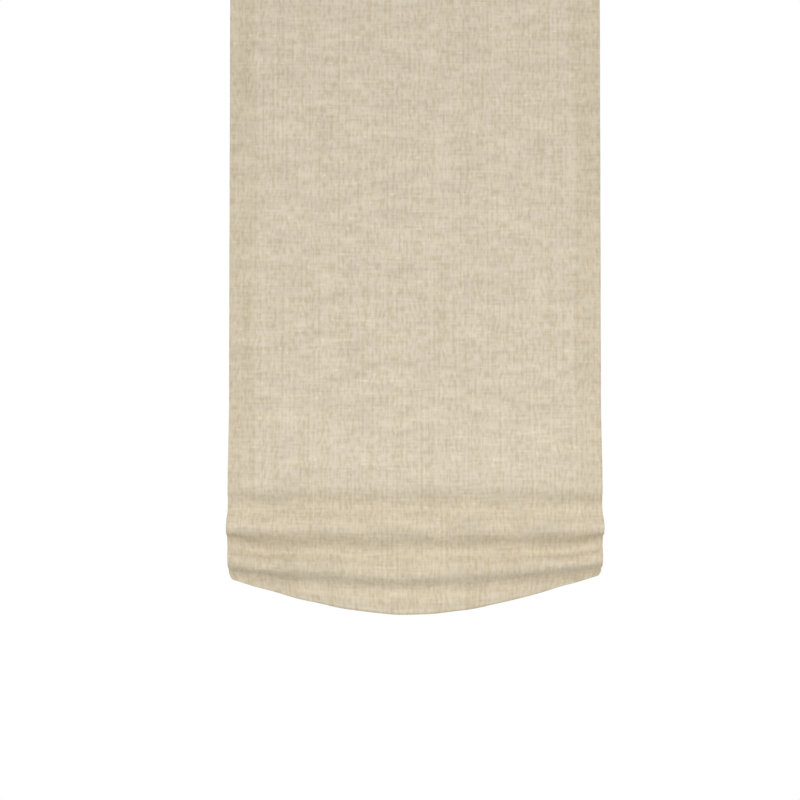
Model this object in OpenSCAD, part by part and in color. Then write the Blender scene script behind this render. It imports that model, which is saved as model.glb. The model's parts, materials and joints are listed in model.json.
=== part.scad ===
// Relaxed Roman shade with a cordless spring lift, let fully down.
// The origin is the centre of the bracket screw pattern, on the window head.
// +X is the shade's right, +Y points to the window, +Z is up.

/* [Cloth] */
// Width of the finished cloth
shade_w = 760; // [600:1:1000]
// Height from the window head down to the seam line where the folds begin
panel_drop = 1104; // [900:1:1600]
// Drop of the cloth's top edge below the window head
cloth_top = 3; // [2:0.5:4]
// Thickness of the face linen
face_t = 0.8; // [0.5:0.1:1]
// Thickness of the lining
lining_t = 0.4; // [0.2:0.1:0.6]
// Width of the turned-back side hems
side_hem = 50; // [35:1:65]
// How far the lining stops short of the side edges
lining_inset = 27; // [10:1:30]
// Gap between the back of a side hem and the lining
lining_gap = 0.3; // [0.2:0.1:0.5]

/* [Folds] */
// Length of cloth in the soft lean above the first dip
lean_arc = 170; // [130:1:200]
// Steepest angle of that lean
lean_tilt = 6.5; // [4:0.5:8]
// Length of cloth that swings back into the first dip
dip_arc = 46; // [36:1:56]
// Steepest angle of the dip
dip_tilt = 24; // [16:0.5:30]
// Length of cloth that falls forward over the first fold
fold1_fall = 49; // [40:1:60]
// Steepest angle of that fall, at the side edges and in the middle
fold1_fall_tilt = [48, 38]; // [30:1:70]
// Length of cloth tucked back under the first fold
fold1_tuck = 55; // [44:1:66]
// Steepest angle of that tuck, at the side edges and in the middle
fold1_tuck_tilt = [50, 38]; // [30:1:70]
// Length of cloth that falls forward over the second fold
fold2_fall = 48; // [40:1:58]
// Steepest angle of that fall, at the side edges and in the middle
fold2_fall_tilt = [86, 40]; // [30:1:95]
// Length of cloth tucked back under the second fold
fold2_tuck = 43; // [36:1:52]
// Steepest angle of that tuck, at the side edges and in the middle
fold2_tuck_tilt = [78, 38]; // [30:1:95]
// Length of cloth that falls forward in the skirt below the folds
skirt_fall = 26; // [20:1:34]
// Steepest angle of that fall, at the side edges and in the middle
skirt_fall_tilt = [110, 28]; // [20:1:115]
// Length of cloth that hangs back to the bottom edge
skirt_tuck = 24; // [18:1:30]
// Steepest angle of that hang, at the side edges and in the middle
skirt_tuck_tilt = [122, 12]; // [5:1:125]
// Roundness of the smile at mid-width, as a share of half the width
smile_round = 0.22; // [0.1:0.01:0.5]

/* [Headrail] */
// Depth of the headrail from room to window
rail_d = 48; // [48:0.5:64]
// Height of the headrail
rail_h = 40; // [40:0.5:56]
// Wall of the extrusion
rail_wall = 1.5; // [1.2:0.1:1.8]
// Gap between the window head and the top of the rail
rail_drop = 4; // [4:0.1:5]
// Half width of the slot in the rail's top
slot_half = 8; // [8:0.1:9]
// Half width of the undercut below the slot's lips
undercut_half = 14; // [13.5:0.1:15]
// Height of the undercut
undercut_h = 4; // [4:0.1:5]
// Thickness of the slot's lips
lip_t = 1.8; // [1.5:0.1:2]
// Reach of the beads that close in the rail's open bottom
bead = 2; // [1.5:0.1:3]
// How far each end of the rail stops short of the cloth's edge
rail_inset = 8; // [6:0.5:12]
// Thickness of an end cap's plate
cap_t = 3; // [2:0.5:4]
// Depth of an end cap's plug in the rail
plug_l = 12; // [8:1:20]
// Thickness of the hook tape on the rail and of the loop tape on the cloth
tape_t = 1.2; // [0.8:0.1:1.6]
// Width of the hook and loop tapes
tape_w = 25; // [20:1:28]

/* [Brackets] */
// Distance from the cloth's edge to each bracket's centre
bracket_inset = 100; // [80:1:150]
// Width of a bracket plate along the rail
bracket_w = 30; // [24:1:40]
// Depth of a bracket plate across the rail
bracket_d = 54; // [50:1:54]
// Thickness of a bracket plate
bracket_t = 1.5; // [1:0.1:1.6]
// Spacing of a bracket's two screw holes
screw_pitch = 40; // [34:0.5:42]
// Diameter of a screw hole
screw_d = 4.6; // [4:0.1:5.5]
// Diameter of the pivot rivet
rivet_d = 6; // [5:0.1:7]
// Length of the swivel cam across the slot when it is locked
cam_l = 25; // [22:0.5:26]
// Width of the swivel cam, which passes the slot when it is turned
cam_w = 15; // [13:0.5:15.5]
// Reach of the cam's lever behind the pivot
lever_l = 34; // [30:0.5:40]

/* [Lift] */
// Distance from the cloth's edge to each lift cord
cord_inset = 77; // [60:1:110]
// Diameter of a lift cord
cord_d = 1.4; // [1:0.1:1.8]
// Radius of a spool's drum
spool_r = 9.9; // [9:0.1:10.5]
// Radius of a spool's flanges
flange_r = 12.8; // [12:0.1:13]
// Length of a spool's drum between its flanges
drum_l = 34; // [28:0.5:44]
// Turns of cord left on a spool
wrap_turns = 3; // [2:1:5]
// Side of the square lift shaft
shaft_w = 5; // [4:0.1:5.4]
// Radius of the journals that turn in the cradles and the motor
journal_r = 5; // [4.8:0.1:5.6]
// Outer diameter of a cord ring
ring_od = 13; // [11:0.5:13]
// Diameter of a ring's stock
ring_wire = 2.5; // [2:0.1:3]
// Spacing of the ring rows on the plain panel
ring_pitch = 203; // [150:1:215]
// Thickness of the tapes that hold the rings
tab_t = 0.5; // [0.3:0.1:0.6]
// Width of those tapes
tab_w = 10; // [8:0.5:14]

/* [Spring motor] */
// Module of the two gears
gear_module = 1; // [0.9:0.05:1]
// Teeth on the output drum
output_teeth = 20; // [20:1:20]
// Teeth on the storage drum
storage_teeth = 16; // [16:1:16]
// Width of the gears
gear_w = 5; // [4:0.5:6]
// Room for the drums between the motor's end plates
motor_gap = 24; // [22:0.5:30]
// Radius of the output drum's core
output_r = 6; // [5.8:0.1:6.2]
// Radius of the storage drum's core
storage_r = 5; // [4.5:0.1:5.2]
// Thickness of the spring coiled on the output drum
output_coil = 0.8; // [0.5:0.1:1]
// Thickness of the spring coiled on the storage drum
storage_coil = 2.8; // [2:0.1:3]
// Width of the spring band
spring_w = 13; // [10:0.5:14]

/* [Hidden] */
$fn = 64;

// Finishes
linen = "#d2c6b1";
lining_cloth = "#ece7dc";
aluminium = "#d9dadb";
white_nylon = "#f0efea";
zinc_steel = "#b9bdc1";
spring_steel = "#8d9298";
cream_tape = "#e4e0d6";
clear_plastic = "#e9eef0";

// Running clearances
fit = 0.2;
journal_fit = 0.05;
side_play = 0.3;
overcut = 1;

// Headrail levels, from the window head down
rail_top = -rail_drop;
rail_bottom = rail_top - rail_h;
lip_bottom = rail_top - lip_t;
web_top = lip_bottom - undercut_h;
ceiling = web_top - rail_wall;
floor_top = rail_bottom + rail_wall;
channel_half = rail_d / 2 - rail_wall;
mouth_half = channel_half - bead;
rail_l = shade_w - 2 * rail_inset;
rail_corner = 1.5;

// Layers from the rail's front face out to the cloth
rail_front = -rail_d / 2;
loop_back = rail_front - tape_t;
face_back = loop_back - tape_t;
face_y = face_back - face_t / 2;
hem_back = 3 * face_t / 2;
lining_front = hem_back + lining_gap;
lining_back = lining_front + lining_t;
tape_top = rail_top - 4;
tape_bottom = tape_top - tape_w;
tape_l = shade_w - 2 * side_hem - 4;

// The lift line: rings, cords and spools share it
half_w = shade_w / 2;
cord_x = half_w - cord_inset;
tab_front = face_y + lining_back + fit;
ring_front = tab_front + tab_t + fit;
cord_y = ring_front + ring_od / 2;
wrap_gap = 0.1;
wrap_r = spool_r + wrap_gap + cord_d / 2;
shaft_y = cord_y + wrap_r;
tray_t = 2;
tray_bottom = floor_top + fit;
tray_top = tray_bottom + tray_t;
tray_half = channel_half - side_play;
tray_wall = 1.5;
tray_wall_h = 10;
flange_gap = 0.5;
flange_t = 1.5;
shaft_z = tray_top + flange_gap + flange_r;
plate_t = 2.5;
spool_half = drum_l / 2 + flange_t;
journal_l = side_play + plate_t + 1.2;
shaft_l = 2 * (cord_x + spool_half + journal_l + 3);

// Bracket and cam levels
bracket_x = half_w - bracket_inset;
cam_gap = 0.3;
plate_bottom = -bracket_t;
lever_top = plate_bottom - cam_gap;
lever_bottom = rail_top + cam_gap;
disc_top = lip_bottom - cam_gap;
disc_t = 2.5;
rivet_head_t = 0.9;
lever_w = 10;
lever_hole_d = 4;
neck_r = slot_half - 1;

// Motor places
motor_half = motor_gap / 2;
drum_half = motor_half - side_play;
pressure_angle = 20;
addendum = 0.9;
dedendum = 1.25;
gear_slack = 0.25;
centre_distance = gear_module * (output_teeth + storage_teeth) / 2;
storage_y = shaft_y + centre_distance;
axle_r = 2;
band_t = 0.4;
coil_gap = 0.2;
cover_t = 1;
cover_top = ceiling - 0.4;
frame_top = cover_top - cover_t;
frame_half = mouth_half;

// Folded cloth: every wave starts and ends upright and swings to its steepest angle halfway
fold_steps = 8;
inner_columns = 16;
hem_edge = 1;

function share_to_middle(u) =
    let (edge = sqrt(1 + smile_round * smile_round) - smile_round)
    1 - (sqrt(u * u + smile_round * smile_round) - smile_round) / edge;
function tilt_at(tilt, u) = tilt[0] + (tilt[1] - tilt[0]) * share_to_middle(u);
function wave(arc, tilt, way) = [
    for (i = [0 : fold_steps - 1])
    let (a = tilt * sin(180 * (i + 0.5) / fold_steps))
    [way * sin(a), -cos(a)] * arc / fold_steps
];
function reach(steps) = abs([for (s = steps) s[0]] * [for (s = steps) 1]);
function rise(steps) = abs([for (s = steps) s[1]] * [for (s = steps) 1]);
// A tuck comes back just as far as the fall before it went out, so the creases stay in one plane
function closed(tuck, fall) = let (k = reach(fall) / reach(tuck)) [for (s = tuck) [s[0] * k, s[1]]];
function run(start, steps) = [
    for (i = 0, p = start; i <= len(steps); p = i < len(steps) ? p + steps[i] : p, i = i + 1) p
];

lean = wave(lean_arc, lean_tilt, -1);
seam_z = -panel_drop;
panel_path = concat([[face_y, -cloth_top]], run([face_y, seam_z + rise(lean)], lean));
seam = panel_path[len(panel_path) - 1];

function fold_path(u) =
    let (dip = wave(dip_arc, dip_tilt, 1))
    let (fall1 = wave(fold1_fall, tilt_at(fold1_fall_tilt, u), -1))
    let (tuck1 = wave(fold1_tuck, tilt_at(fold1_tuck_tilt, u), 1))
    let (fall2 = wave(fold2_fall, tilt_at(fold2_fall_tilt, u), -1))
    let (tuck2 = wave(fold2_tuck, tilt_at(fold2_tuck_tilt, u), 1))
    let (fall3 = wave(skirt_fall, tilt_at(skirt_fall_tilt, u), -1))
    let (tuck3 = wave(skirt_tuck, tilt_at(skirt_tuck_tilt, u), 1))
    run(seam, concat(
        closed(dip, lean), fall1, closed(tuck1, fall1), fall2, closed(tuck2, fall2), fall3, tuck3));

// Waves after the seam: dip 0, fall and tuck 1 and 2, fall and tuck 3 and 4, skirt 5 and 6
cord_path = fold_path(cord_x / half_w);
function crease(k) = cord_path[(2 * k + 1) * fold_steps][1];
crease_z = [for (k = [0 : 2]) crease(k)];
hem_row = 6 * fold_steps;

// Tangent along a path, upright at its first point, and the point moved back off the path
function tangent(path, r) =
    r == 0 ? [0, -1] :
    let (d = path[min(r + 1, len(path) - 1)] - path[r - 1]) d / norm(d);
function moved_back(path, r, d) = let (t = tangent(path, r)) path[r] + [-t[1], t[0]] * d;

// Extrudes a (y, z) outline along X, centred
module along_x(length) {
    rotate([90, 0, 90]) linear_extrude(length, center = true) children();
}

// A round bar along X between two places
module bar_x(r, x0, x1, y, z) {
    translate([x0, y, z]) rotate([0, 90, 0]) cylinder(r = r, h = x1 - x0);
}

// A box between two corners
module block(low, high) {
    translate(low) cube(high - low);
}

// An upright outline rectangle with round corners, between two corners
module plate_outline(low, high, r) {
    translate([low[0] + r, low[1]]) square([high[0] - low[0] - 2 * r, high[1] - low[1]]);
    translate([low[0], low[1] + r]) square([high[0] - low[0], high[1] - low[1] - 2 * r]);
    for (y = [low[0] + r, high[0] - r], z = [low[1] + r, high[1] - r]) translate([y, z]) circle(r);
}

module rail_outline() {
    plate_outline([-rail_d / 2, rail_bottom], [rail_d / 2, rail_top], rail_corner);
}

module headrail() {
    side_pocket = undercut_half + rail_wall;
    color(aluminium) along_x(rail_l) difference() {
        rail_outline();
        translate([-slot_half, lip_bottom]) square([2 * slot_half, lip_t + overcut]);
        translate([-undercut_half, web_top]) square([2 * undercut_half, undercut_h]);
        for (y = [-channel_half, side_pocket])
            translate([y, web_top]) square([channel_half - side_pocket, undercut_h]);
        translate([-channel_half, floor_top]) square([2 * channel_half, ceiling - floor_top]);
        translate([-mouth_half, rail_bottom - overcut]) square([2 * mouth_half, rail_wall + 2 * overcut]);
    }
}

// An end cap: a plate with a sunk outer face, and a hollow ribbed plug that pushes into the rail
module end_cap(side) {
    plug_half = channel_half - fit;
    plug_low = floor_top + fit;
    plug_high = ceiling - fit;
    plug_wall = 2;
    rim = 3;
    sunk = cap_t / 4;
    color(white_nylon) {
        difference() {
            translate([side * (rail_l + cap_t) / 2, 0, 0]) along_x(cap_t) rail_outline();
            translate([side * (rail_l / 2 + cap_t), 0, 0]) along_x(2 * sunk) plate_outline(
                [rim - rail_d / 2, rail_bottom + rim], [rail_d / 2 - rim, rail_top - rim], rail_corner);
        }
        translate([side * (rail_l - plug_l) / 2, 0, 0]) along_x(plug_l) {
            difference() {
                plate_outline([-plug_half, plug_low], [plug_half, plug_high], 1);
                plate_outline(
                    [-plug_half + plug_wall, plug_low + plug_wall],
                    [plug_half - plug_wall, plug_high - plug_wall], 1);
            }
            translate([-plug_wall / 2, plug_low]) square([plug_wall, plug_high - plug_low]);
        }
    }
}
module end_cap_left() end_cap(-1);
module end_cap_right() end_cap(1);

// A bracket plate that screws up into the window head
module bracket(side) {
    color(zinc_steel) translate([side * bracket_x, 0, plate_bottom]) difference() {
        linear_extrude(bracket_t)
            plate_outline([-bracket_w / 2, -bracket_d / 2], [bracket_w / 2, bracket_d / 2], 4);
        for (y = [-screw_pitch / 2, screw_pitch / 2])
            translate([0, y, -overcut]) cylinder(d = screw_d, h = bracket_t + 2 * overcut);
        translate([0, 0, -overcut]) cylinder(d = rivet_d + 2 * journal_fit, h = bracket_t + 2 * overcut);
    }
}
module bracket_left() bracket(-1);
module bracket_right() bracket(1);

module bracket_rivets() {
    head_top = disc_top - disc_t - journal_fit;
    color(zinc_steel) for (side = [-1, 1]) translate([side * bracket_x, 0, 0]) {
        translate([0, 0, head_top]) cylinder(d = rivet_d, h = -head_top);
        translate([0, 0, head_top - rivet_head_t]) cylinder(d = rivet_d + 4, h = rivet_head_t);
    }
}

// A swivel cam: its long disc locks under the slot's lips, and its lever turns it
module swivel_cam(side) {
    color(zinc_steel) translate([side * bracket_x, 0, 0]) difference() {
        union() {
            translate([0, 0, disc_top - disc_t]) linear_extrude(disc_t) intersection() {
                circle(d = cam_l);
                square([cam_w, cam_l], center = true);
            }
            translate([0, 0, disc_top]) cylinder(r = neck_r, h = lever_top - disc_top);
            translate([0, 0, lever_bottom]) linear_extrude(lever_top - lever_bottom) {
                translate([-lever_w / 2, 0]) square([lever_w, lever_l - lever_w / 2]);
                translate([0, lever_l - lever_w / 2]) circle(d = lever_w);
            }
        }
        translate([0, 0, disc_top - disc_t - overcut])
            cylinder(d = rivet_d + fit, h = lever_top - disc_top + disc_t + 2 * overcut);
        translate([0, lever_l - lever_w / 2, lever_bottom - overcut])
            cylinder(d = lever_hole_d, h = lever_top - lever_bottom + 2 * overcut);
    }
}
module swivel_cam_left() swivel_cam(-1);
module swivel_cam_right() swivel_cam(1);

module hook_tape() {
    color(cream_tape) block([-tape_l / 2, loop_back, tape_bottom], [tape_l / 2, rail_front, tape_top]);
}

module loop_tape() {
    color(cream_tape) block([-tape_l / 2, face_back, tape_bottom], [tape_l / 2, loop_back, tape_top]);
}

// Outline of a flat layer that follows the panel between two depths behind its middle
module panel_layer(front, back, path) {
    back_way = [for (i = [len(path) - 1 : -1 : 0]) path[i] + [back, 0]];
    polygon(concat([for (p = path) p + [front, 0]], back_way));
}

module face_panel() {
    color(linen) {
        along_x(shade_w) panel_layer(-face_t / 2, face_t / 2, panel_path);
        for (side = [-1, 1])
            translate([side * (half_w - side_hem / 2), 0, 0])
                along_x(side_hem) panel_layer(face_t / 2, hem_back, panel_path);
    }
}

module lining_panel() {
    below_tape = [for (p = panel_path) [p[0], min(p[1], tape_bottom - side_play)]];
    color(lining_cloth) along_x(shade_w - 2 * lining_inset)
        panel_layer(lining_front, lining_back, below_tape);
}

// A closed sheet through the fold paths at each of xs, between two depths behind the paths' line
module fold_sheet(xs, front, back) {
    paths = [for (x = xs) fold_path(x / half_w)];
    columns = len(xs);
    rows = len(paths[0]);
    grid = rows * columns;
    function front_at(r, c) = r * columns + c;
    function back_at(r, c) = grid + front_at(r, c);
    function two(a, b, c, d) = [[a, b, c], [a, c, d]];
    function layer(depth) = [
        for (r = [0 : rows - 1], c = [0 : columns - 1])
        let (p = moved_back(paths[c], r, is_list(depth) ? depth_at(depth, xs[c], r) : depth))
        [xs[c], p[0], p[1]]
    ];
    function depth_at(depth, x, r) =
        (abs(x) > half_w - side_hem - hem_edge / 2 || r >= hem_row) ? depth[1] : depth[0];
    skins = [
        for (r = [0 : rows - 2], c = [0 : columns - 2])
        each concat(
            two(front_at(r, c), front_at(r, c + 1), front_at(r + 1, c + 1), front_at(r + 1, c)),
            two(back_at(r, c), back_at(r + 1, c), back_at(r + 1, c + 1), back_at(r, c + 1)))
    ];
    last_r = rows - 1;
    last_c = columns - 1;
    level_edges = [
        for (c = [0 : columns - 2])
        each concat(
            two(front_at(0, c), back_at(0, c), back_at(0, c + 1), front_at(0, c + 1)),
            two(front_at(last_r, c), front_at(last_r, c + 1), back_at(last_r, c + 1), back_at(last_r, c)))
    ];
    side_edges = [
        for (r = [0 : rows - 2])
        each concat(
            two(front_at(r, 0), front_at(r + 1, 0), back_at(r + 1, 0), back_at(r, 0)),
            two(front_at(r, last_c), back_at(r, last_c), back_at(r + 1, last_c), front_at(r + 1, last_c)))
    ];
    polyhedron(concat(layer(front), layer(back)), concat(skins, level_edges, side_edges), convexity = 10);
}

// Columns of the folds: the plain middle, and outside it the side hems' inner edges and the outer places given
function fold_columns(outer) =
    let (hem_in = half_w - side_hem)
    let (inner = hem_in - hem_edge)
    let (middle = [for (i = [0 : inner_columns]) inner * (2 * i / inner_columns - 1)])
    let (sides = concat([hem_in], outer))
    concat([for (i = [len(sides) - 1 : -1 : 0]) -sides[i]], middle, sides);

// The face cloth has a column at the lining's edge too, so the two sheets bend alike
module face_folds() {
    color(linen) fold_sheet(fold_columns([half_w - lining_inset, half_w]), -face_t / 2, [face_t / 2, hem_back]);
}

module lining_folds() {
    color(lining_cloth) fold_sheet(fold_columns([half_w - lining_inset]), lining_front, lining_back);
}

module lift_shaft() {
    color(zinc_steel) translate([0, shaft_y, shaft_z]) cube([shaft_l, shaft_w, shaft_w], center = true);
}

// The square hole that a part on the lift shaft slides on with
module shaft_hole(length) {
    translate([0, shaft_y, shaft_z]) cube([length, shaft_w + fit, shaft_w + fit], center = true);
}

module spool(side) {
    color(white_nylon) translate([side * cord_x, 0, 0]) difference() {
        union() {
            bar_x(spool_r, -drum_l / 2, drum_l / 2, shaft_y, shaft_z);
            bar_x(journal_r, -spool_half - journal_l, spool_half + journal_l, shaft_y, shaft_z);
            for (x = [-spool_half, drum_l / 2]) bar_x(flange_r, x, x + flange_t, shaft_y, shaft_z);
        }
        shaft_hole(2 * (spool_half + journal_l + overcut));
        scale([side, 1, 1]) block(
            [drum_l / 2 - overcut, shaft_y - cord_d / 2 - fit, shaft_z + spool_r],
            [spool_half + overcut, shaft_y + cord_d / 2 + fit, shaft_z + flange_r + overcut]);
    }
}
module spool_left() spool(-1);
module spool_right() spool(1);

// Turns of cord beside the place where the cord leaves the spool
module cord_wrap(side) {
    wrap_step = cord_d + wrap_gap;
    color(white_nylon) for (i = [1 : wrap_turns])
        translate([side * (cord_x - i * wrap_step), shaft_y, shaft_z])
            rotate([0, 90, 0]) rotate_extrude() translate([wrap_r, 0]) circle(d = cord_d);
}
module cord_wrap_left() cord_wrap(-1);
module cord_wrap_right() cord_wrap(1);

// A tray that drops on the rail's beads, open at its ends
module tray(half_l) {
    block([-half_l, -tray_half, tray_bottom], [half_l, tray_half, tray_top]);
    for (y = [-tray_half, tray_half - tray_wall])
        block([-half_l, y, tray_top], [half_l, y + tray_wall, tray_top + tray_wall_h]);
}

// The bearings are open at the top and a little narrower than the journals, so that a spool snaps in
module spool_cradle(side) {
    cheek_r = journal_r + 4;
    snap_half = journal_r - 0.5;
    inner = spool_half + side_play;
    outer = inner + plate_t;
    eyelet_r = cord_d / 2 + 0.9;
    color(white_nylon) translate([side * cord_x, 0, 0]) difference() {
        union() {
            tray(outer);
            for (x = [-outer, inner]) {
                block([x, shaft_y - cheek_r, tray_top], [x + plate_t, shaft_y + cheek_r, shaft_z]);
                bar_x(cheek_r, x, x + plate_t, shaft_y, shaft_z);
            }
        }
        bar_x(journal_r + journal_fit, -outer - overcut, outer + overcut, shaft_y, shaft_z);
        block(
            [-outer - overcut, shaft_y - snap_half, shaft_z],
            [outer + overcut, shaft_y + snap_half, shaft_z + cheek_r + overcut]);
        translate([0, cord_y, tray_bottom - overcut]) cylinder(r = eyelet_r, h = tray_t + 2 * overcut);
    }
}
module spool_cradle_left() spool_cradle(-1);
module spool_cradle_right() spool_cradle(1);

// The orb that holds the cord's end under the lowest ring
orb_r = 5;
orb_h = 9;
orb_top = crease_z[2] - ring_wire / 2 - fit;
knot_r = 1.8;

module cord_orb(side) {
    half_arc = 48;
    side_points = 8;
    round_side = [
        for (i = [0 : side_points])
        let (a = half_arc * (2 * i / side_points - 1))
        [orb_r * cos(a), orb_h / 2 * (1 + sin(a) / sin(half_arc))]
    ];
    color(clear_plastic) translate([side * cord_x, cord_y, orb_top - orb_h]) difference() {
        rotate_extrude() polygon(concat([[0, 0]], round_side, [[0, orb_h]]));
        translate([0, 0, -overcut]) cylinder(d = cord_d + 2 * fit, h = orb_h + 2 * overcut);
    }
}
module cord_orb_left() cord_orb(-1);
module cord_orb_right() cord_orb(1);

// A lift cord, from its spool through the eyelet and the rings to a knot under its orb
module lift_cord(side) {
    knot_z = orb_top - orb_h - knot_r - fit / 2;
    color(white_nylon) translate([side * cord_x, cord_y, 0]) {
        translate([0, 0, knot_z]) cylinder(d = cord_d, h = shaft_z - knot_z);
        translate([0, 0, knot_z]) sphere(knot_r);
    }
}
module lift_cord_left() lift_cord(-1);
module lift_cord_right() lift_cord(1);

// Involute gear outline, with a tooth on the +Y side
function involute(a) = tan(a) * 180 / PI - a;
function half_tooth(teeth, r) =
    let (pitch_r = gear_module * teeth / 2)
    let (a = acos(min(1, pitch_r * cos(pressure_angle) / r)))
    90 / teeth - gear_slack / 4 / pitch_r * 180 / PI + involute(pressure_angle) - involute(a);
function polar(r, a) = r * [cos(a), sin(a)];

module gear_outline(teeth) {
    flank_points = 5;
    root = gear_module * (teeth / 2 - dedendum);
    tip = gear_module * (teeth / 2 + addendum);
    radii = [for (i = [0 : flank_points]) root + (tip - root) * i / flank_points];
    polygon([
        for (k = [0 : teeth - 1])
        let (a = 360 * k / teeth)
        each concat(
            [for (r = radii) polar(r, a - half_tooth(teeth, r))],
            [for (i = [flank_points : -1 : 0]) polar(radii[i], a + half_tooth(teeth, radii[i]))])
    ]);
}

// A gear at the left end of a motor drum
module drum_gear(teeth, y, turn) {
    translate([-drum_half + gear_w / 2, y, shaft_z]) along_x(gear_w) rotate(turn) gear_outline(teeth);
}

module output_drum() {
    rim_r = output_r + output_coil + 1.6;
    color(white_nylon) difference() {
        union() {
            drum_gear(output_teeth, shaft_y, 0);
            bar_x(output_r, -drum_half, drum_half, shaft_y, shaft_z);
            bar_x(rim_r, drum_half - flange_t, drum_half, shaft_y, shaft_z);
            bar_x(journal_r, -motor_half - journal_l, motor_half + journal_l, shaft_y, shaft_z);
        }
        shaft_hole(2 * (motor_half + journal_l + overcut));
    }
}

module storage_drum() {
    rim_r = storage_r + storage_coil + 1.2;
    color(white_nylon) difference() {
        union() {
            drum_gear(storage_teeth, storage_y, 180 / storage_teeth);
            bar_x(storage_r, -drum_half, drum_half, storage_y, shaft_z);
            bar_x(rim_r, drum_half - flange_t, drum_half, storage_y, shaft_z);
        }
        bar_x(axle_r + fit / 2, -motor_half, motor_half, storage_y, shaft_z);
    }
}

module storage_axle() {
    head_x = motor_half + plate_t + journal_fit;
    head_t = 0.8;
    color(zinc_steel) {
        bar_x(axle_r, -head_x, head_x, storage_y, shaft_z);
        for (x = [-head_x - head_t, head_x]) bar_x(axle_r + 1, x, x + head_t, storage_y, shaft_z);
    }
}

// The spring band, coiled on both drums, with the strand that crosses between them
module power_spring() {
    storage_out = storage_r + coil_gap + storage_coil;
    output_out = output_r + coil_gap + output_coil;
    band_x = -drum_half + gear_w + (2 * drum_half - gear_w - flange_t) / 2;
    // The strand leaves each coil a little inside its outer turn
    strand_sink = 0.15;
    strand_in = output_out - strand_sink - band_t;
    cross = acos((storage_out - strand_sink + strand_in) / centre_distance);
    strand_l = centre_distance * sin(cross);
    color(spring_steel) translate([band_x, 0, shaft_z]) along_x(spring_w) {
        translate([shaft_y, 0]) difference() {
            circle(output_out);
            circle(output_r + coil_gap);
        }
        translate([storage_y, 0]) difference() {
            circle(storage_out);
            circle(storage_r + coil_gap);
        }
        translate([shaft_y, 0]) rotate(cross) translate([strand_in, -strand_l]) square([band_t, strand_l]);
    }
}

// The output drum drops in from above, and its journals turn in open slots
module motor_frame() {
    window_l = motor_gap - 6;
    window_half = mouth_half - 6;
    color(white_nylon) difference() {
        union() {
            tray(motor_half + plate_t);
            for (x = [-motor_half - plate_t, motor_half])
                translate([x + plate_t / 2, 0, 0]) along_x(plate_t)
                    plate_outline([-frame_half, tray_top - 1], [frame_half, frame_top], 1);
        }
        bar_x(journal_r + journal_fit, -motor_gap, motor_gap, shaft_y, shaft_z);
        block(
            [-motor_gap, shaft_y - journal_r - journal_fit, shaft_z],
            [motor_gap, shaft_y + journal_r + journal_fit, frame_top + overcut]);
        bar_x(axle_r + journal_fit, -motor_gap, motor_gap, storage_y, shaft_z);
        block(
            [-window_l / 2, -window_half, tray_bottom - overcut],
            [window_l / 2, window_half, tray_top + overcut]);
    }
}

// The cover's tongues close the frame's slots and hold the journals down
module motor_cover() {
    half_l = motor_half + plate_t;
    tongue_half = journal_r - fit;
    skirt_out = frame_half + fit + cover_t;
    skirt_low = tray_top + tray_wall_h + fit;
    color(zinc_steel) {
        block([-half_l, -skirt_out, frame_top], [half_l, skirt_out, cover_top]);
        for (y = [-skirt_out, skirt_out - cover_t])
            block([-half_l, y, skirt_low], [half_l, y + cover_t, frame_top]);
        for (x = [-half_l, motor_half])
            block(
                [x + fit, shaft_y - tongue_half, shaft_z + journal_r + fit],
                [x + plate_t - fit, shaft_y + tongue_half, frame_top]);
    }
}

module cord_ring(x, z) {
    translate([x, cord_y, z]) rotate_extrude()
        translate([(ring_od - ring_wire) / 2, 0]) circle(d = ring_wire);
}

// A row of two rings on the plain panel, each on a tab sewn to the lining
module ring_row(n) {
    z = crease_z[0] + (5 - n) * ring_pitch;
    tab_half = 7;
    color(clear_plastic) for (side = [-1, 1]) cord_ring(side * cord_x, z);
    color(lining_cloth) for (side = [-1, 1])
        translate([side * cord_x, tab_front, z])
            block([-tab_w / 2, 0, -tab_half], [tab_w / 2, tab_t, tab_half]);
}
module ring_row_1() ring_row(1);
module ring_row_2() ring_row(2);
module ring_row_3() ring_row(3);
module ring_row_4() ring_row(4);

module stack_rings() {
    color(clear_plastic) for (side = [-1, 1], z = crease_z) cord_ring(side * cord_x, z);
}

// The tape that ties the three creases together, so that the folds stay when the shade is down
module fold_tape(side) {
    overlap = 7;
    color(lining_cloth) translate([side * cord_x, tab_front, 0])
        block([-tab_w / 2, 0, crease_z[2] - overlap], [tab_w / 2, tab_t, crease_z[0] + overlap]);
}
module fold_tape_left() fold_tape(-1);
module fold_tape_right() fold_tape(1);

headrail();
end_cap_left();
end_cap_right();
bracket_left();
bracket_right();
bracket_rivets();
swivel_cam_left();
swivel_cam_right();
hook_tape();
loop_tape();
face_panel();
face_folds();
lining_panel();
lining_folds();
lift_shaft();
spool_left();
spool_right();
cord_wrap_left();
cord_wrap_right();
spool_cradle_left();
spool_cradle_right();
lift_cord_left();
lift_cord_right();
motor_frame();
motor_cover();
output_drum();
storage_drum();
storage_axle();
power_spring();
ring_row_1();
ring_row_2();
ring_row_3();
ring_row_4();
stack_rings();
fold_tape_left();
fold_tape_right();
cord_orb_left();
cord_orb_right();
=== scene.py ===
# %% [markdown]
# # A relaxed Roman shade in oatmeal linen
# The shade hangs from a slim headrail. Its cloth falls flat for most of its height and then gathers into
# soft folds whose hem sags in a smile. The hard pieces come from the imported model, which is the fixed
# frame of this scene. The cloth, the lining, the cords, the sewing and every finish are made here, in
# metres, in that same frame: +X is to the right, +Y points to the back and +Z is up.

# %% Load the frame
import json
import math

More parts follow.
